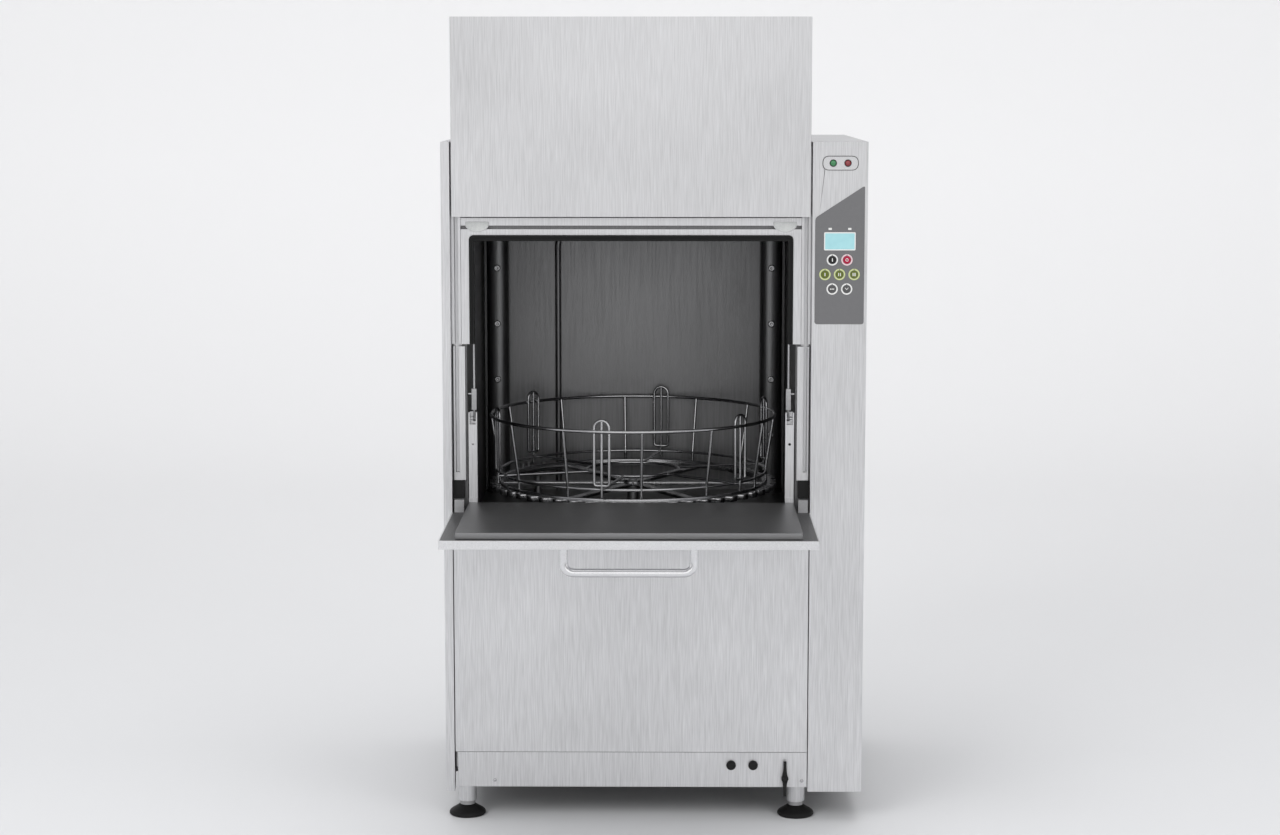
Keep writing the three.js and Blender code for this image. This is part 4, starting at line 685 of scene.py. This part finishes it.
def wires(name, runs, radius, roundness=4):
    """One curve with a round section; runs is a list of (points, closed)."""
    curve = bpy.data.curves.new(name, "CURVE")
    curve.dimensions = "3D"
    curve.bevel_depth = radius
    curve.bevel_resolution = roundness
    curve.use_fill_caps = True
    for points, closed in runs:
        spline = curve.splines.new("POLY")
        spline.points.add(len(points) - 1)
        for point, place in zip(spline.points, points):
            point.co = (*place, 1)
        spline.use_cyclic_u = closed
        spline.use_smooth = True
    return linked(name, curve)


def outlined(name, loops, thickness, edge, place):
    """A flat plate from closed outlines in its own x and y, later ones cut out of the first."""
    curve = bpy.data.curves.new(name, "CURVE")
    curve.dimensions = "2D"
    curve.fill_mode = "BOTH"
    curve.extrude = thickness / 2 - edge
    curve.bevel_depth = edge
    curve.bevel_resolution = 2
    curve.offset = -edge
    for loop in loops:
        spline = curve.splines.new("POLY")
        spline.points.add(len(loop) - 1)
        for point, corner in zip(spline.points, loop):
            point.co = (corner[0], corner[1], 0, 1)
        spline.use_cyclic_u = True
    item = linked(name, curve)
    item.matrix_world = place
    return item


def turned(name, profile, place, steps=64):
    """A closed body of revolution round its own z; the profile starts and ends on the axis."""
    mesh = bpy.data.meshes.new(name)
    made = bmesh.new()
    turns = [index * math.tau / steps for index in range(steps)]
    rings = []
    for radius, height in profile:
        if radius == 0:
            rings.append([made.verts.new((0, 0, height))])
            continue
        rings.append(
            [made.verts.new((radius * math.cos(a), radius * math.sin(a), height)) for a in turns])
    for low, high in zip(rings, rings[1:]):
        for index in range(steps):
            after = (index + 1) % steps
            corners = [low[index % len(low)], low[after % len(low)],
                       high[after % len(high)], high[index % len(high)]]
            made.faces.new(list(dict.fromkeys(corners)))
    bmesh.ops.recalc_face_normals(made, faces=made.faces)
    made.to_mesh(mesh)
    made.free()
    mesh.shade_smooth()
    item = linked(name, mesh)
    item.matrix_world = place
    soften(item, TURNED_EDGE)
    return item


# --- carried-over CAD nodes ---


def dress_nodes(frame, materials):
    """Gives each CAD node its finish and softened edges."""
    slots = {}
    for part in frame["record"]["subparts"]:
        slots[part["node"]] = part["material_slot"]
    for name, node in frame["nodes"].items():
        finish = NODE_FINISHES.get(name, slots[name])
        node.data.materials.clear()
        node.data.materials.append(materials[finish])
        for shading in ("custom_normal", "sharp_edge", "sharp_face"):
            if shading in node.data.attributes:
                node.data.attributes.remove(node.data.attributes[shading])
        node.data.shade_smooth()
        weld = node.modifiers.new("weld", "WELD")
        weld.merge_threshold = WELD_GAP
        soften(node, NODE_EDGE)


# --- basket ---


def around(centre, turn, radius, height, side=0.0):
    """A point of the basket: radius out and side across in the bay at turn degrees from the front."""
    angle = math.radians(turn)
    out = Vector((math.sin(angle), -math.cos(angle), 0))
    across = Vector((math.cos(angle), math.sin(angle), 0))
    return Vector((centre.x, centre.y, height)) + out * radius + across * side


def basket_loop(centre, turn, base, top):
    """One hairpin: a round-topped loop, closed at its foot, with a middle wire down to the table."""
    radius = RIM_RADIUS - LOOP_INSET
    low = base + LOOP_FOOT
    outline = [around(centre, turn, radius, low, LOOP_HALF)]
    for step in range(LOOP_STEPS + 1):
        angle = math.pi * step / LOOP_STEPS
        height = top + LOOP_HALF * (math.sin(angle) - 1)
        outline.append(around(centre, turn, radius, height, LOOP_HALF * math.cos(angle)))
    outline.append(around(centre, turn, radius, low, -LOOP_HALF))
    middle_top = around(centre, turn, radius, top - LOOP_WIRE_DROP)
    middle_foot = around(centre, turn, radius, base - BASKET_LIFT)
    loop = rounded(outline, LOOP_CORNER, closed=True, steps=4)
    return [(loop, True), ([middle_top, middle_foot], False)]


def basket(materials):
    """The wire basket: rim, base ring, hub ring, floor wires, leaning stays and tall hairpins."""
    low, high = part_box("basket")
    centre = measured("turntable").centre
    base = low.z + BASKET_LIFT + WIRE
    top = high.z - WIRE
    rim = top - LOOP_RISE
    rim_line = circle(RIM_RADIUS, RING_STEPS, (centre.x, centre.y, rim))
    piece = wires("basket_rim", [(rim_line, True)], RIM_WIRE, STOUT_WIRE)
    finished(piece, materials, "basket", "bright_wire", replaced=["basket"])
    floor = []
    for radius in (BASE_RING, HUB_RING):
        floor.append((circle(radius, BASE_STEPS, (centre.x, centre.y, base)), True))
    stays = []
    loops = []
    for index in range(BAYS):
        turn = BASKET_TURN + index * 360 / BAYS
        start = around(centre, turn, HUB_RING, base)
        end = around(centre, turn, RIM_RADIUS - LOOP_INSET, base)
        floor.append(([start, end], False))
        loops.extend(basket_loop(centre, turn, base, top))
        for side in (-STAY_TURN, STAY_TURN):
            line = [
                around(centre, turn + side, BASE_RING, low.z),
                around(centre, turn + side, BASE_RING, base),
                around(centre, turn + side, RIM_RADIUS, rim),
            ]
            stays.append((rounded(line, STAY_BEND), False))
    for name, runs in (("floor", floor), ("stays", stays), ("hairpins", loops)):
        piece = wires("basket_" + name, runs, WIRE)
        finished(piece, materials, "basket", "bright_wire")


# --- turntable and drive ---


def drive_turn():
    """The direction from the turntable's centre to the pinion's, where a notch holds a pin."""
    way = measured("drive_pinion").centre - measured("turntable").centre
    return math.atan2(way.y, way.x)


def toothed_rim():
    """Outline of the toothed ring: an outer circle with a round notch at each tooth pitch."""
    outer = TOOTH_PITCH + TOOTH_TIP
    notch = TOOTH_RADIUS / TOOTH_PITCH
    start = drive_turn()
    points = []
    for index in range(TEETH):
        notch_middle = start + index * math.tau / TEETH
        for step in range(-TOOTH_STEPS, TOOTH_STEPS + 1):
            share = step / TOOTH_STEPS
            turn = notch_middle + notch * share
            radius = outer - math.sqrt(1 - share ** 2) * TOOTH_DEPTH
            points.append(Vector((math.cos(turn), math.sin(turn), 0)) * radius)
    return points


def turntable(materials):
    """The toothed ring with its bright lip, three spokes and the hub."""
    box = measured("turntable")
    ring = outlined(
        "turntable_ring", [toothed_rim(), circle(RING_INNER, RING_STEPS)], RING_THICK, TABLE_EDGE,
        upright(box.centre.x, box.centre.y, box.high.z - RING_DROP))
    finished(ring, materials, "turntable", "bright_wire", replaced=["turntable"])
    lip_line = circle(LIP_RADIUS, RING_STEPS, (box.centre.x, box.centre.y, box.high.z - LIP_WIRE))
    lip = wires("turntable_lip", [(lip_line, True)], LIP_WIRE, STOUT_WIRE)
    finished(lip, materials, "turntable", "bright_wire")
    for index in range(SPOKES):
        outline = rounded_box(RING_INNER + SPOKE_LAP, SPOKE_HALF, SPOKE_CORNER)
        spin = Matrix.Rotation(index * math.pi / SPOKES, 4, "Z")
        spoke = outlined(
            f"turntable_spoke_{index + 1}", [outline], SPOKE_THICK, TABLE_EDGE,
            upright(box.centre.x, box.centre.y, box.low.z + SPOKE_RISE) @ spin)
        finished(spoke, materials, "turntable", "bright_wire")
    profile = capped(inset(HUB_RADIUS, HUB_RIM), box.size.z - HUB_DROP)
    hub = turned("turntable_hub", profile, upright(box.centre.x, box.centre.y, box.low.z))
    finished(hub, materials, "turntable", "bright_wire")


def pinion(materials):
    """The lantern pinion that drives the toothed ring: disc, round pins and shaft."""
    box = measured("drive_pinion")
    disc_low = box.high.z - DISC_DROP
    disc_high = disc_low + DISC_THICK
    profile = [
        (0, box.low.z), (SHAFT_RADIUS, box.low.z), (SHAFT_RADIUS, disc_low), (DISC_RADIUS, disc_low),
        (DISC_RADIUS, disc_high), (0, disc_high)]
    disc = turned("pinion_disc", profile, upright(box.centre.x, box.centre.y, 0))
    finished(disc, materials, "pinion", "frame_steel", replaced=["drive_pinion"])
    pin_profile = capped(inset(PIN_RADIUS, PIN_RIM), box.high.z, foot=disc_low + PIN_ROOT)
    start = drive_turn() + math.pi
    for index in range(PINION_PINS):
        turn = start + index * math.tau / PINION_PINS
        x = box.centre.x + PINION_PITCH * math.cos(turn)
        y = box.centre.y + PINION_PITCH * math.sin(turn)
        pin = turned(f"pinion_pin_{index + 1}", pin_profile, upright(x, y, 0), steps=32)
        finished(pin, materials, "pinion", "frame_steel")


# --- doors, handle and linkage ---


def handle(materials):
    """The bent grab bar under the open lower door."""
    box = measured("lower_door_handle")
    left = box.low.x + HANDLE_RADIUS
    right = box.high.x - HANDLE_RADIUS
    bottom = box.low.z + HANDLE_RADIUS
    y = box.centre.y
    corners = [(left, y, box.high.z), (left, y, bottom), (right, y, bottom), (right, y, box.high.z)]
    line = rounded(corners, HANDLE_BEND, steps=TUBE_BEND_STEPS)
    bar = wires("handle_bar", [(line, False)], HANDLE_RADIUS, TUBE)
    finished(bar, materials, "lower_door", "bright_wire", "handle_tube", ["lower_door_handle"])


def adjuster(materials):
    """The dark adjusting screw in the front face of the right crank arm."""
    box = measured("right_crank_arm")
    place = outward(box.centre.x, box.high.y - ADJUSTER_SETBACK, box.high.z - ADJUSTER_DROP)
    head = turned("adjuster_screw", in_metres(ADJUSTER_PROFILE), place, steps=32)
    finished(head, materials, "lower_door", "black_plastic")


def lift_rod(side, materials):
    """One lift rod: a slim rod with an eye at each end, and a square block with a neck and a stud.

    The rod stands half a block in from the node's inner side, and the stud reaches its outer side.
    """
    node = side + "_lift_rod"
    body = side + "_rod"
    box = measured(node)
    if side == "left":
        x = box.high.x - BLOCK_HALF
        outer_x = box.low.x
    else:
        x = box.low.x + BLOCK_HALF
        outer_x = box.high.x
    y = box.centre.y
    lower_pivot = box.low.z + EYE_RADIUS
    upper_pivot = box.high.z - EYE_RADIUS
    line = [(x, y, lower_pivot + ROD_FOOT), (x, y, upper_pivot - ROD_HEAD_GAP)]
    rod = wires(node + "_rod", [(line, False)], ROD_RADIUS)
    finished(rod, materials, body, "bright_wire", replaced=[node])
    eye_loops = [circle(EYE_RADIUS, EYE_STEPS), circle(EYE_BORE, EYE_STEPS)]
    for label, height in (("lower", lower_pivot), ("upper", upper_pivot)):
        eye = outlined(
            f"{node}_{label}_eye", eye_loops, EYE_THICK, SMALL_EDGE, sideways(x, y, height))
        finished(eye, materials, body, "bright_wire", "chamber_steel")
    block = outlined(
        node + "_block", [rounded_box(BLOCK_HALF, BLOCK_HALF, BLOCK_CORNER)], BLOCK_TALL,
        BLOCK_EDGE, upright(x, y, lower_pivot + BLOCK_MIDDLE))
    finished(block, materials, body, "frame_steel")
    neck = outlined(
        node + "_neck", [rounded_box(NECK_HALF_X, NECK_HALF_Y, NECK_CORNER)], NECK_TALL,
        SMALL_EDGE, upright(x, y, lower_pivot + NECK_MIDDLE))
    finished(neck, materials, body, "frame_steel", "chamber_steel")
    stud_z = lower_pivot + STUD_HEIGHT
    stud = wires(node + "_stud", [([(x, y, stud_z), (outer_x, y, stud_z)], False)], STUD_RADIUS)
    finished(stud, materials, body, "bright_wire")


# --- chamber fittings ---


def gasket(materials):
    """The black seal round the upper opening, with a raised bead along its middle."""
    box = measured("upper_gasket")
    half_x = box.size.x / 2
    half_z = box.size.z / 2
    outer = arch(half_x, -half_z, half_z, SEAL_OUTER_CORNER)
    inner = arch(half_x - SEAL_SIDE, -half_z, half_z - SEAL_TOP, SEAL_INNER_CORNER)
    band = outlined(
        "gasket_band", [outer + inner[::-1]], box.size.y - SEAL_SETBACK, SEAL_EDGE,
        outward(box.centre.x, box.centre.y + SEAL_SETBACK / 2, box.centre.z))
    finished(band, materials, "cabinet", "black_rubber", replaced=["upper_gasket"])
    line = arch(
        half_x - SEAL_SIDE / 2, -half_z + SEAL_BEAD_RISE, half_z - SEAL_TOP / 2, SEAL_BEAD_CORNER)
    bead = [Vector((box.centre.x + p.x, box.low.y + SEAL_BEAD_SINK, box.centre.z + p.y)) for p in line]
    rib = wires("gasket_rib", [(bead, False)], SEAL_BEAD_RADIUS)
    finished(rib, materials, "cabinet", "black_rubber")


def wash_pipe(side, materials):
    """One upright spray pipe with a collar at its foot and nozzles facing the front."""
    node = side + "_wash_pipe"
    box = measured(node)
    x = box.centre.x
    y = box.high.y - SPRAY_RADIUS
    profile = capped(inset(SPRAY_RADIUS, SPRAY_RIM), box.high.z, foot=box.low.z)
    pipe = turned(node + "_tube", profile, upright(x, y, 0), steps=72)
    finished(pipe, materials, "cabinet", "chamber_steel", replaced=[node])
    collar_rim = inset(SPRAY_RADIUS + COLLAR_WIDER, COLLAR_RIM)
    collar_profile = capped(collar_rim, box.low.z + COLLAR_TALL, foot=box.low.z)
    collar = turned(node + "_collar", collar_profile, upright(x, y, 0), steps=72)
    finished(collar, materials, "cabinet", "chamber_steel")
    nozzle_rim = inset(NOZZLE_RADIUS, NOZZLE_RIM)
    nozzle_profile = capped(nozzle_rim, y - box.low.y, foot=SPRAY_RADIUS - NOZZLE_ROOT)
    for index in range(NOZZLES):
        place = outward(x, y, box.low.z + NOZZLE_FIRST + NOZZLE_PITCH * index)
        nozzle = turned(f"{node}_nozzle_{index + 1}", nozzle_profile, place, steps=40)
        finished(nozzle, materials, "cabinet", "bright_wire")


def rinse_pipe(materials):
    """The slim rinse pipe up the back wall, bent over towards the middle."""
    box = measured("rinse_pipe")
    x = box.low.x + RINSE_RADIUS
    y = box.centre.y
    top = box.high.z - RINSE_RADIUS
    corners = [(x, y, box.low.z), (x, y, top), (box.high.x, y, top)]
    line = rounded(corners, RINSE_BEND, steps=TUBE_BEND_STEPS)
    pipe = wires("rinse_tube", [(line, False)], RINSE_RADIUS, TUBE)
    finished(pipe, materials, "cabinet", "chamber_steel", replaced=["rinse_pipe"])


def header_tabs(materials):
    """Half-round nylon guides at both ends of the header, over the seal's top corners."""
    box = measured("door_header")
    outline = []
    for step in range(TAB_STEPS + 1):
        turn = math.pi * step / TAB_STEPS
        outline.append(Vector((TAB_HALF * math.cos(turn), -TAB_DEEP * math.sin(turn), 0)))
    outline.append(Vector((-TAB_HALF, TAB_OVER, 0)))
    outline.append(Vector((TAB_HALF, TAB_OVER, 0)))
    for label, side in (("left", -1), ("right", 1)):
        place = outward(box.centre.x + side * TAB_PLACE, box.low.y + TAB_SINK, box.low.z + TAB_DEEP)
        tab = outlined(f"header_tab_{label}", [outline], TAB_THICK, SMALL_EDGE, place)
        finished(tab, materials, "cabinet", "black_plastic", "clear_nylon")


# --- control panel ---


def overlay(materials):
    """The grey label plate, with rounded corners and a slanted top edge."""
    box = measured("control_overlay")
    half = box.size.x / 2
    left_top = box.size.z - OVERLAY_LEFT_DROP
    corners = [(-half, 0, 0), (half, 0, 0), (half, box.size.z, 0), (-half, left_top, 0)]
    outline = rounded(corners, OVERLAY_CORNER, closed=True)
    plate = outlined(
        "overlay_plate", [outline], box.size.y, OVERLAY_EDGE, outward(box.centre.x, box.centre.y, box.low.z))
    finished(plate, materials, "cabinet", "overlay_grey", replaced=["control_overlay"])


def display(materials):
    """The display: a pale frame round a tinted window, and two small marks above it."""
    box = measured("display_window")
    half_x = box.size.x / 2
    half_z = box.size.z / 2
    glass = rounded_box(half_x - WINDOW_INSET, half_z - WINDOW_INSET, WINDOW_CORNER)
    window = outlined(
        "display_glass", [glass], WINDOW_THICK, WINDOW_EDGE,
        outward(box.centre.x, box.low.y + WINDOW_SINK + WINDOW_THICK / 2, box.centre.z))
    finished(window, materials, "cabinet", "display_glass", replaced=["display_window"])
    outer = rounded_box(half_x, half_z, BORDER_CORNER)
    inner = rounded_box(half_x - BORDER_WIDTH, half_z - BORDER_WIDTH, WINDOW_CORNER)
    border = outlined(
        "display_border", [outer, inner], BORDER_THICK, BORDER_EDGE,
        outward(box.centre.x, box.low.y + BORDER_THICK / 2, box.centre.z))
    finished(border, materials, "cabinet", "display_glass", "pale_print")
    outline = rounded_box(MARK_HALF_X, MARK_HALF_Z, MARK_CORNER)
    for label, side in (("left", -1), ("right", 1)):
        x = box.centre.x + side * MARK_SHIFT * half_x
        place = outward(x, box.low.y + MARK_SINK, box.high.z + MARK_RISE)
        mark = outlined(f"display_mark_{label}", [outline], MARK_THICK, MARK_EDGE, place)
        finished(mark, materials, "cabinet", "display_glass", "pale_print")


def key_marks(sign):
    """The raised generic sign on a key, as outlines in its own x and y."""
    if sign == "ring":
        return [circle(radius * MM, RING_SIGN_STEPS) for radius in RING_SIGN_RADII]
    if sign == "dots":
        return [shifted(circle(DOT_RADIUS * MM, DOT_STEPS), x * MM) for x in DOT_PLACES]
    if sign == "chevron":
        return [[Vector((x, y, 0)) * MM for x, y in CHEVRON]]
    half_x, corner, places = BAR_SIGNS[sign]
    bar = rounded_box(half_x * MM, BAR_HALF_TALL * MM, corner * MM)
    return [shifted(bar, x * MM) for x in places]


def key(node, slot, ring_finish, sign, materials):
    """One push key: a pale outer ring, a domed coloured disc in it, a lamp and a raised sign."""
    box = measured(node)
    x = box.centre.x
    z = box.centre.z
    radius = box.size.x / 2
    back = outward(x, box.high.y, z)
    ring = turned(node + "_ring", capped(inset(radius, KEY_RING_RIM), box.size.y), back, steps=56)
    finished(ring, materials, node, slot, ring_finish, [node])
    disc_rim = inset(radius - KEY_DISC_INSET, KEY_DISC_RIM)
    disc_profile = capped(disc_rim, box.size.y, foot=box.size.y - KEY_DISC_ROOT, crown=KEY_DISC_CROWN)
    disc = turned(node + "_disc", disc_profile, back, steps=48)
    finished(disc, materials, node, slot)
    mark = outlined(
        node + "_sign", key_marks(sign), SIGN_THICK, SIGN_EDGE, outward(x, box.low.y + SIGN_SINK, z))
    finished(mark, materials, node, slot, "pale_print")
    lamp_place = outward(x, box.low.y + KEY_LAMP_SINK, z + radius - KEY_LAMP_INSET)
    lamp = turned(node + "_lamp", in_metres(KEY_LAMP_PROFILE), lamp_place, steps=24)
    finished(lamp, materials, node, slot, "key_grey")


def indicator_plate(materials):
    """The round-ended plate over the panel, with a dark outline."""
    box = measured("indicator_plate")
    half_x = box.size.x / 2
    half_z = box.size.z / 2
    place = outward(box.centre.x, box.centre.y, box.centre.z)
    margin = PLATE_BORDER - PLATE_LAP
    plate = outlined(
        "indicator_face", [stadium(half_x - margin, half_z - margin)], box.size.y, PLATE_EDGE, place)
    finished(plate, materials, "cabinet", "brushed_panel", replaced=["indicator_plate"])
    loops = [stadium(half_x, half_z), stadium(half_x - PLATE_BORDER, half_z - PLATE_BORDER)]
    rim = outlined("indicator_outline", loops, box.size.y - PLATE_LAP, OUTLINE_EDGE, place)
    finished(rim, materials, "cabinet", "black_plastic")


def indicator_lamp(node, slot, materials):
    """One lamp of the plate: a coloured dome in a dark collar."""
    box = measured(node)
    back = outward(box.centre.x, box.high.y, box.centre.z)
    radius = box.size.x / 2
    collar_profile = capped(inset(radius, LAMP_COLLAR_RIM), box.size.y)
    collar = turned(node + "_collar", collar_profile, back, steps=48)
    finished(collar, materials, "cabinet", "black_plastic", replaced=[node])
    lens_rim = shared(radius - LENS_INSET, LENS_RIM)
    dome_profile = capped(lens_rim, box.size.y, foot=box.size.y - LENS_ROOT, crown=0)
    dome = turned(node + "_dome", dome_profile, back, steps=48)
    finished(dome, materials, "cabinet", slot)


# --- feet, plugs, lever and screws ---


def levelling_foot(node, materials):
    """One levelling foot: a spread rubber shoe, a lock nut with its stem, and the leg's sleeve."""
    centre = measured(node).centre
    place = upright(centre.x, centre.y, 0)
    shoe = turned(node + "_shoe", in_metres(SHOE_PROFILE), place, steps=72)
    finished(shoe, materials, "cabinet", "black_rubber", replaced=[node])
    stem = turned(node + "_stem", in_metres(STEM_PROFILE), place, steps=48)
    finished(stem, materials, "cabinet", "black_rubber", "frame_steel")
    sleeve = turned(node + "_sleeve", in_metres(SLEEVE_PROFILE), place)
    finished(sleeve, materials, "cabinet", "frame_steel", "brushed_panel")


def plug(node, materials):
    """One round service plug with a six-sided grip."""
    box = measured(node)
    radius = box.size.x / 2
    back = outward(box.centre.x, box.high.y, box.centre.z)
    cap = turned(node + "_cap", capped(shared(radius, PLUG_RIM), box.size.y), back, steps=56)
    finished(cap, materials, "cabinet", "black_plastic", replaced=[node])
    outline = rounded(circle(radius * GRIP_SHARE, GRIP_SIDES), GRIP_CORNER, closed=True)
    grip = outlined(
        node + "_grip", [outline], GRIP_THICK, GRIP_EDGE,
        outward(box.centre.x, box.low.y + GRIP_THICK / 2, box.centre.z))
    finished(grip, materials, "cabinet", "black_plastic")


def drain_lever(materials):
    """The slim black drain lever, widest at its pivot, with a round boss."""
    box = measured("drain_lever")
    reach = box.size.z / 2 - LEVER_END_GAP
    corners = []
    for side in (1, -1):
        for step in range(-LEVER_STEPS, LEVER_STEPS + 1):
            share = step / LEVER_STEPS * side
            swell = math.exp(-(share / LEVER_SWELL) ** 2)
            half = LEVER_HALF * (LEVER_SLIM + (1 - LEVER_SLIM) * swell)
            corners.append(Vector((side * half, share * reach, 0)))
    outline = rounded(corners, LEVER_CORNER, closed=True, steps=3)
    blade = outlined(
        "drain_lever_blade", [outline], LEVER_THICK, LEVER_EDGE,
        outward(box.centre.x, box.low.y + LEVER_SINK, box.centre.z))
    finished(blade, materials, "drain_lever", "black_plastic", replaced=["drain_lever"])
    radius = box.size.x / 2
    foot_line = shared(radius, BOSS_FOOT)
    face_line = [(r, box.size.y - drop) for r, drop in shared(radius, BOSS_RIM)]
    profile = [(0, 0), *foot_line, *face_line, (0, face_line[-1][1])]
    boss = turned("drain_lever_hub", profile, outward(box.centre.x, box.high.y, box.centre.z), steps=48)
    finished(boss, materials, "drain_lever", "black_plastic")


def kick_screws(materials):
    """The two pan-head screws that hold the kick panel."""
    low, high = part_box("kick_panel")
    places = {"left": low.x + KICK_SCREW_LEFT, "right": high.x - KICK_SCREW_RIGHT}
    for label, x in places.items():
        place = outward(x, low.y, low.z + KICK_SCREW_RISE)
        screw = turned(f"kick_screw_{label}", in_metres(SCREW_PROFILE), place, steps=36)
        finished(screw, materials, "cabinet", "frame_steel", "bright_wire")


# --- studio ---


def make_camera():
    """The scene's camera, level side to side and tilted down."""
    data = bpy.data.cameras.new("camera")
    data.lens = CAMERA_LENS
    camera = linked("camera", data)
    camera.location = CAMERA_PLACE
    camera.rotation_euler = Euler(
        (math.radians(90 - CAMERA_DOWN), 0, math.radians(CAMERA_LEFT)))
    bpy.context.scene.camera = camera


def floor_material():
    """Matt paper, pale grey under the machine and white towards the backdrop."""
    material, tree, principled = shader("floor", {"Roughness": PAPER_ROUGHNESS})
    axes = along_axes(tree, "Object")
    distance = ranged(tree, axes["Y"], (FADE_START, FADE_END), (0, 1))
    colour = ramp(tree, distance, [(0, FLOOR_TONE), (1, BACKDROP_TONE)])
    tree.links.new(colour, principled.inputs["Base Color"])
    return material


def make_floor():
    """A pale floor that curves up behind the machine."""
    profile = [Vector((0, -FLOOR_SIZE / 2, 0)), Vector((0, BACKDROP_Y - FLOOR_BEND, 0))]
    for step in range(1, BEND_STEPS + 1):
        turn = math.pi / 2 * step / BEND_STEPS
        y = BACKDROP_Y - FLOOR_BEND + FLOOR_BEND * math.sin(turn)
        profile.append(Vector((0, y, FLOOR_BEND * (1 - math.cos(turn)))))
    profile.append(Vector((0, BACKDROP_Y, FLOOR_RISE)))
    mesh = bpy.data.meshes.new("floor")
    made = bmesh.new()
    half = Vector((FLOOR_SIZE, 0, 0))
    rows = [(made.verts.new(p - half), made.verts.new(p + half)) for p in profile]
    for (a, b), (c, d) in zip(rows, rows[1:]):
        made.faces.new((a, b, d, c))
    made.to_mesh(mesh)
    made.free()
    mesh.shade_smooth()
    floor = linked("floor", mesh)
    mesh.materials.append(floor_material())


def make_surround():
    """A white surround with a grey band, seen mostly in the steel."""
    world = bpy.data.worlds.new("surround")
    world.use_nodes = True
    tree = world.node_tree
    background = tree.nodes["Background"]
    axes = along_axes(tree, "Generated")
    lean = worked_out(tree, "MAXIMUM", worked_out(tree, "ABSOLUTE", axes["X"]), axes["Z"])
    tree.links.new(ramp(tree, lean, SURROUND_TONES), background.inputs["Color"])
    background.inputs["Strength"].default_value = SURROUND_STRENGTH
    bpy.context.scene.world = world


def make_light(name, place, target, size, power):
    """A square soft light that isn't mirrored in the steel."""
    data = bpy.data.lights.new(name, "AREA")
    data.shape = "RECTANGLE"
    data.size = size
    data.size_y = size
    data.energy = power
    item = linked(name, data)
    item.visible_glossy = False
    item.location = place
    item.rotation_euler = (Vector(target) - Vector(place)).to_track_quat("-Z", "Y").to_euler()


def make_studio():
    """Camera, floor, surround, lights and plain colours."""
    make_camera()
    make_floor()
    make_surround()
    for name, values in LIGHTS.items():
        make_light(name, *values)
    view = bpy.context.scene.view_settings
    view.view_transform = "Standard"
    view.look = "None"


# --- the scene ---


for stray in list(bpy.data.objects):
    bpy.data.objects.remove(stray)

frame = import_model()
make_studio()
finishes = make_materials()
dress_nodes(frame, finishes)
basket(finishes)
turntable(finishes)
pinion(finishes)
handle(finishes)
adjuster(finishes)
gasket(finishes)
rinse_pipe(finishes)
header_tabs(finishes)
for hand in ("left", "right"):
    lift_rod(hand, finishes)
    wash_pipe(hand, finishes)
overlay(finishes)
display(finishes)
for key_name, (key_slot, ring_name, key_sign) in KEYS.items():
    key(key_name, key_slot, ring_name, key_sign, finishes)
indicator_plate(finishes)
indicator_lamp("green_lamp", "green_lens", finishes)
indicator_lamp("red_lamp", "red_lens", finishes)
for corner_name in ("front_left", "front_right", "rear_left", "rear_right"):
    levelling_foot(corner_name + "_foot", finishes)
for plug_name in ("service_plug_1", "service_plug_2"):
    plug(plug_name, finishes)
drain_lever(finishes)
kick_screws(finishes)
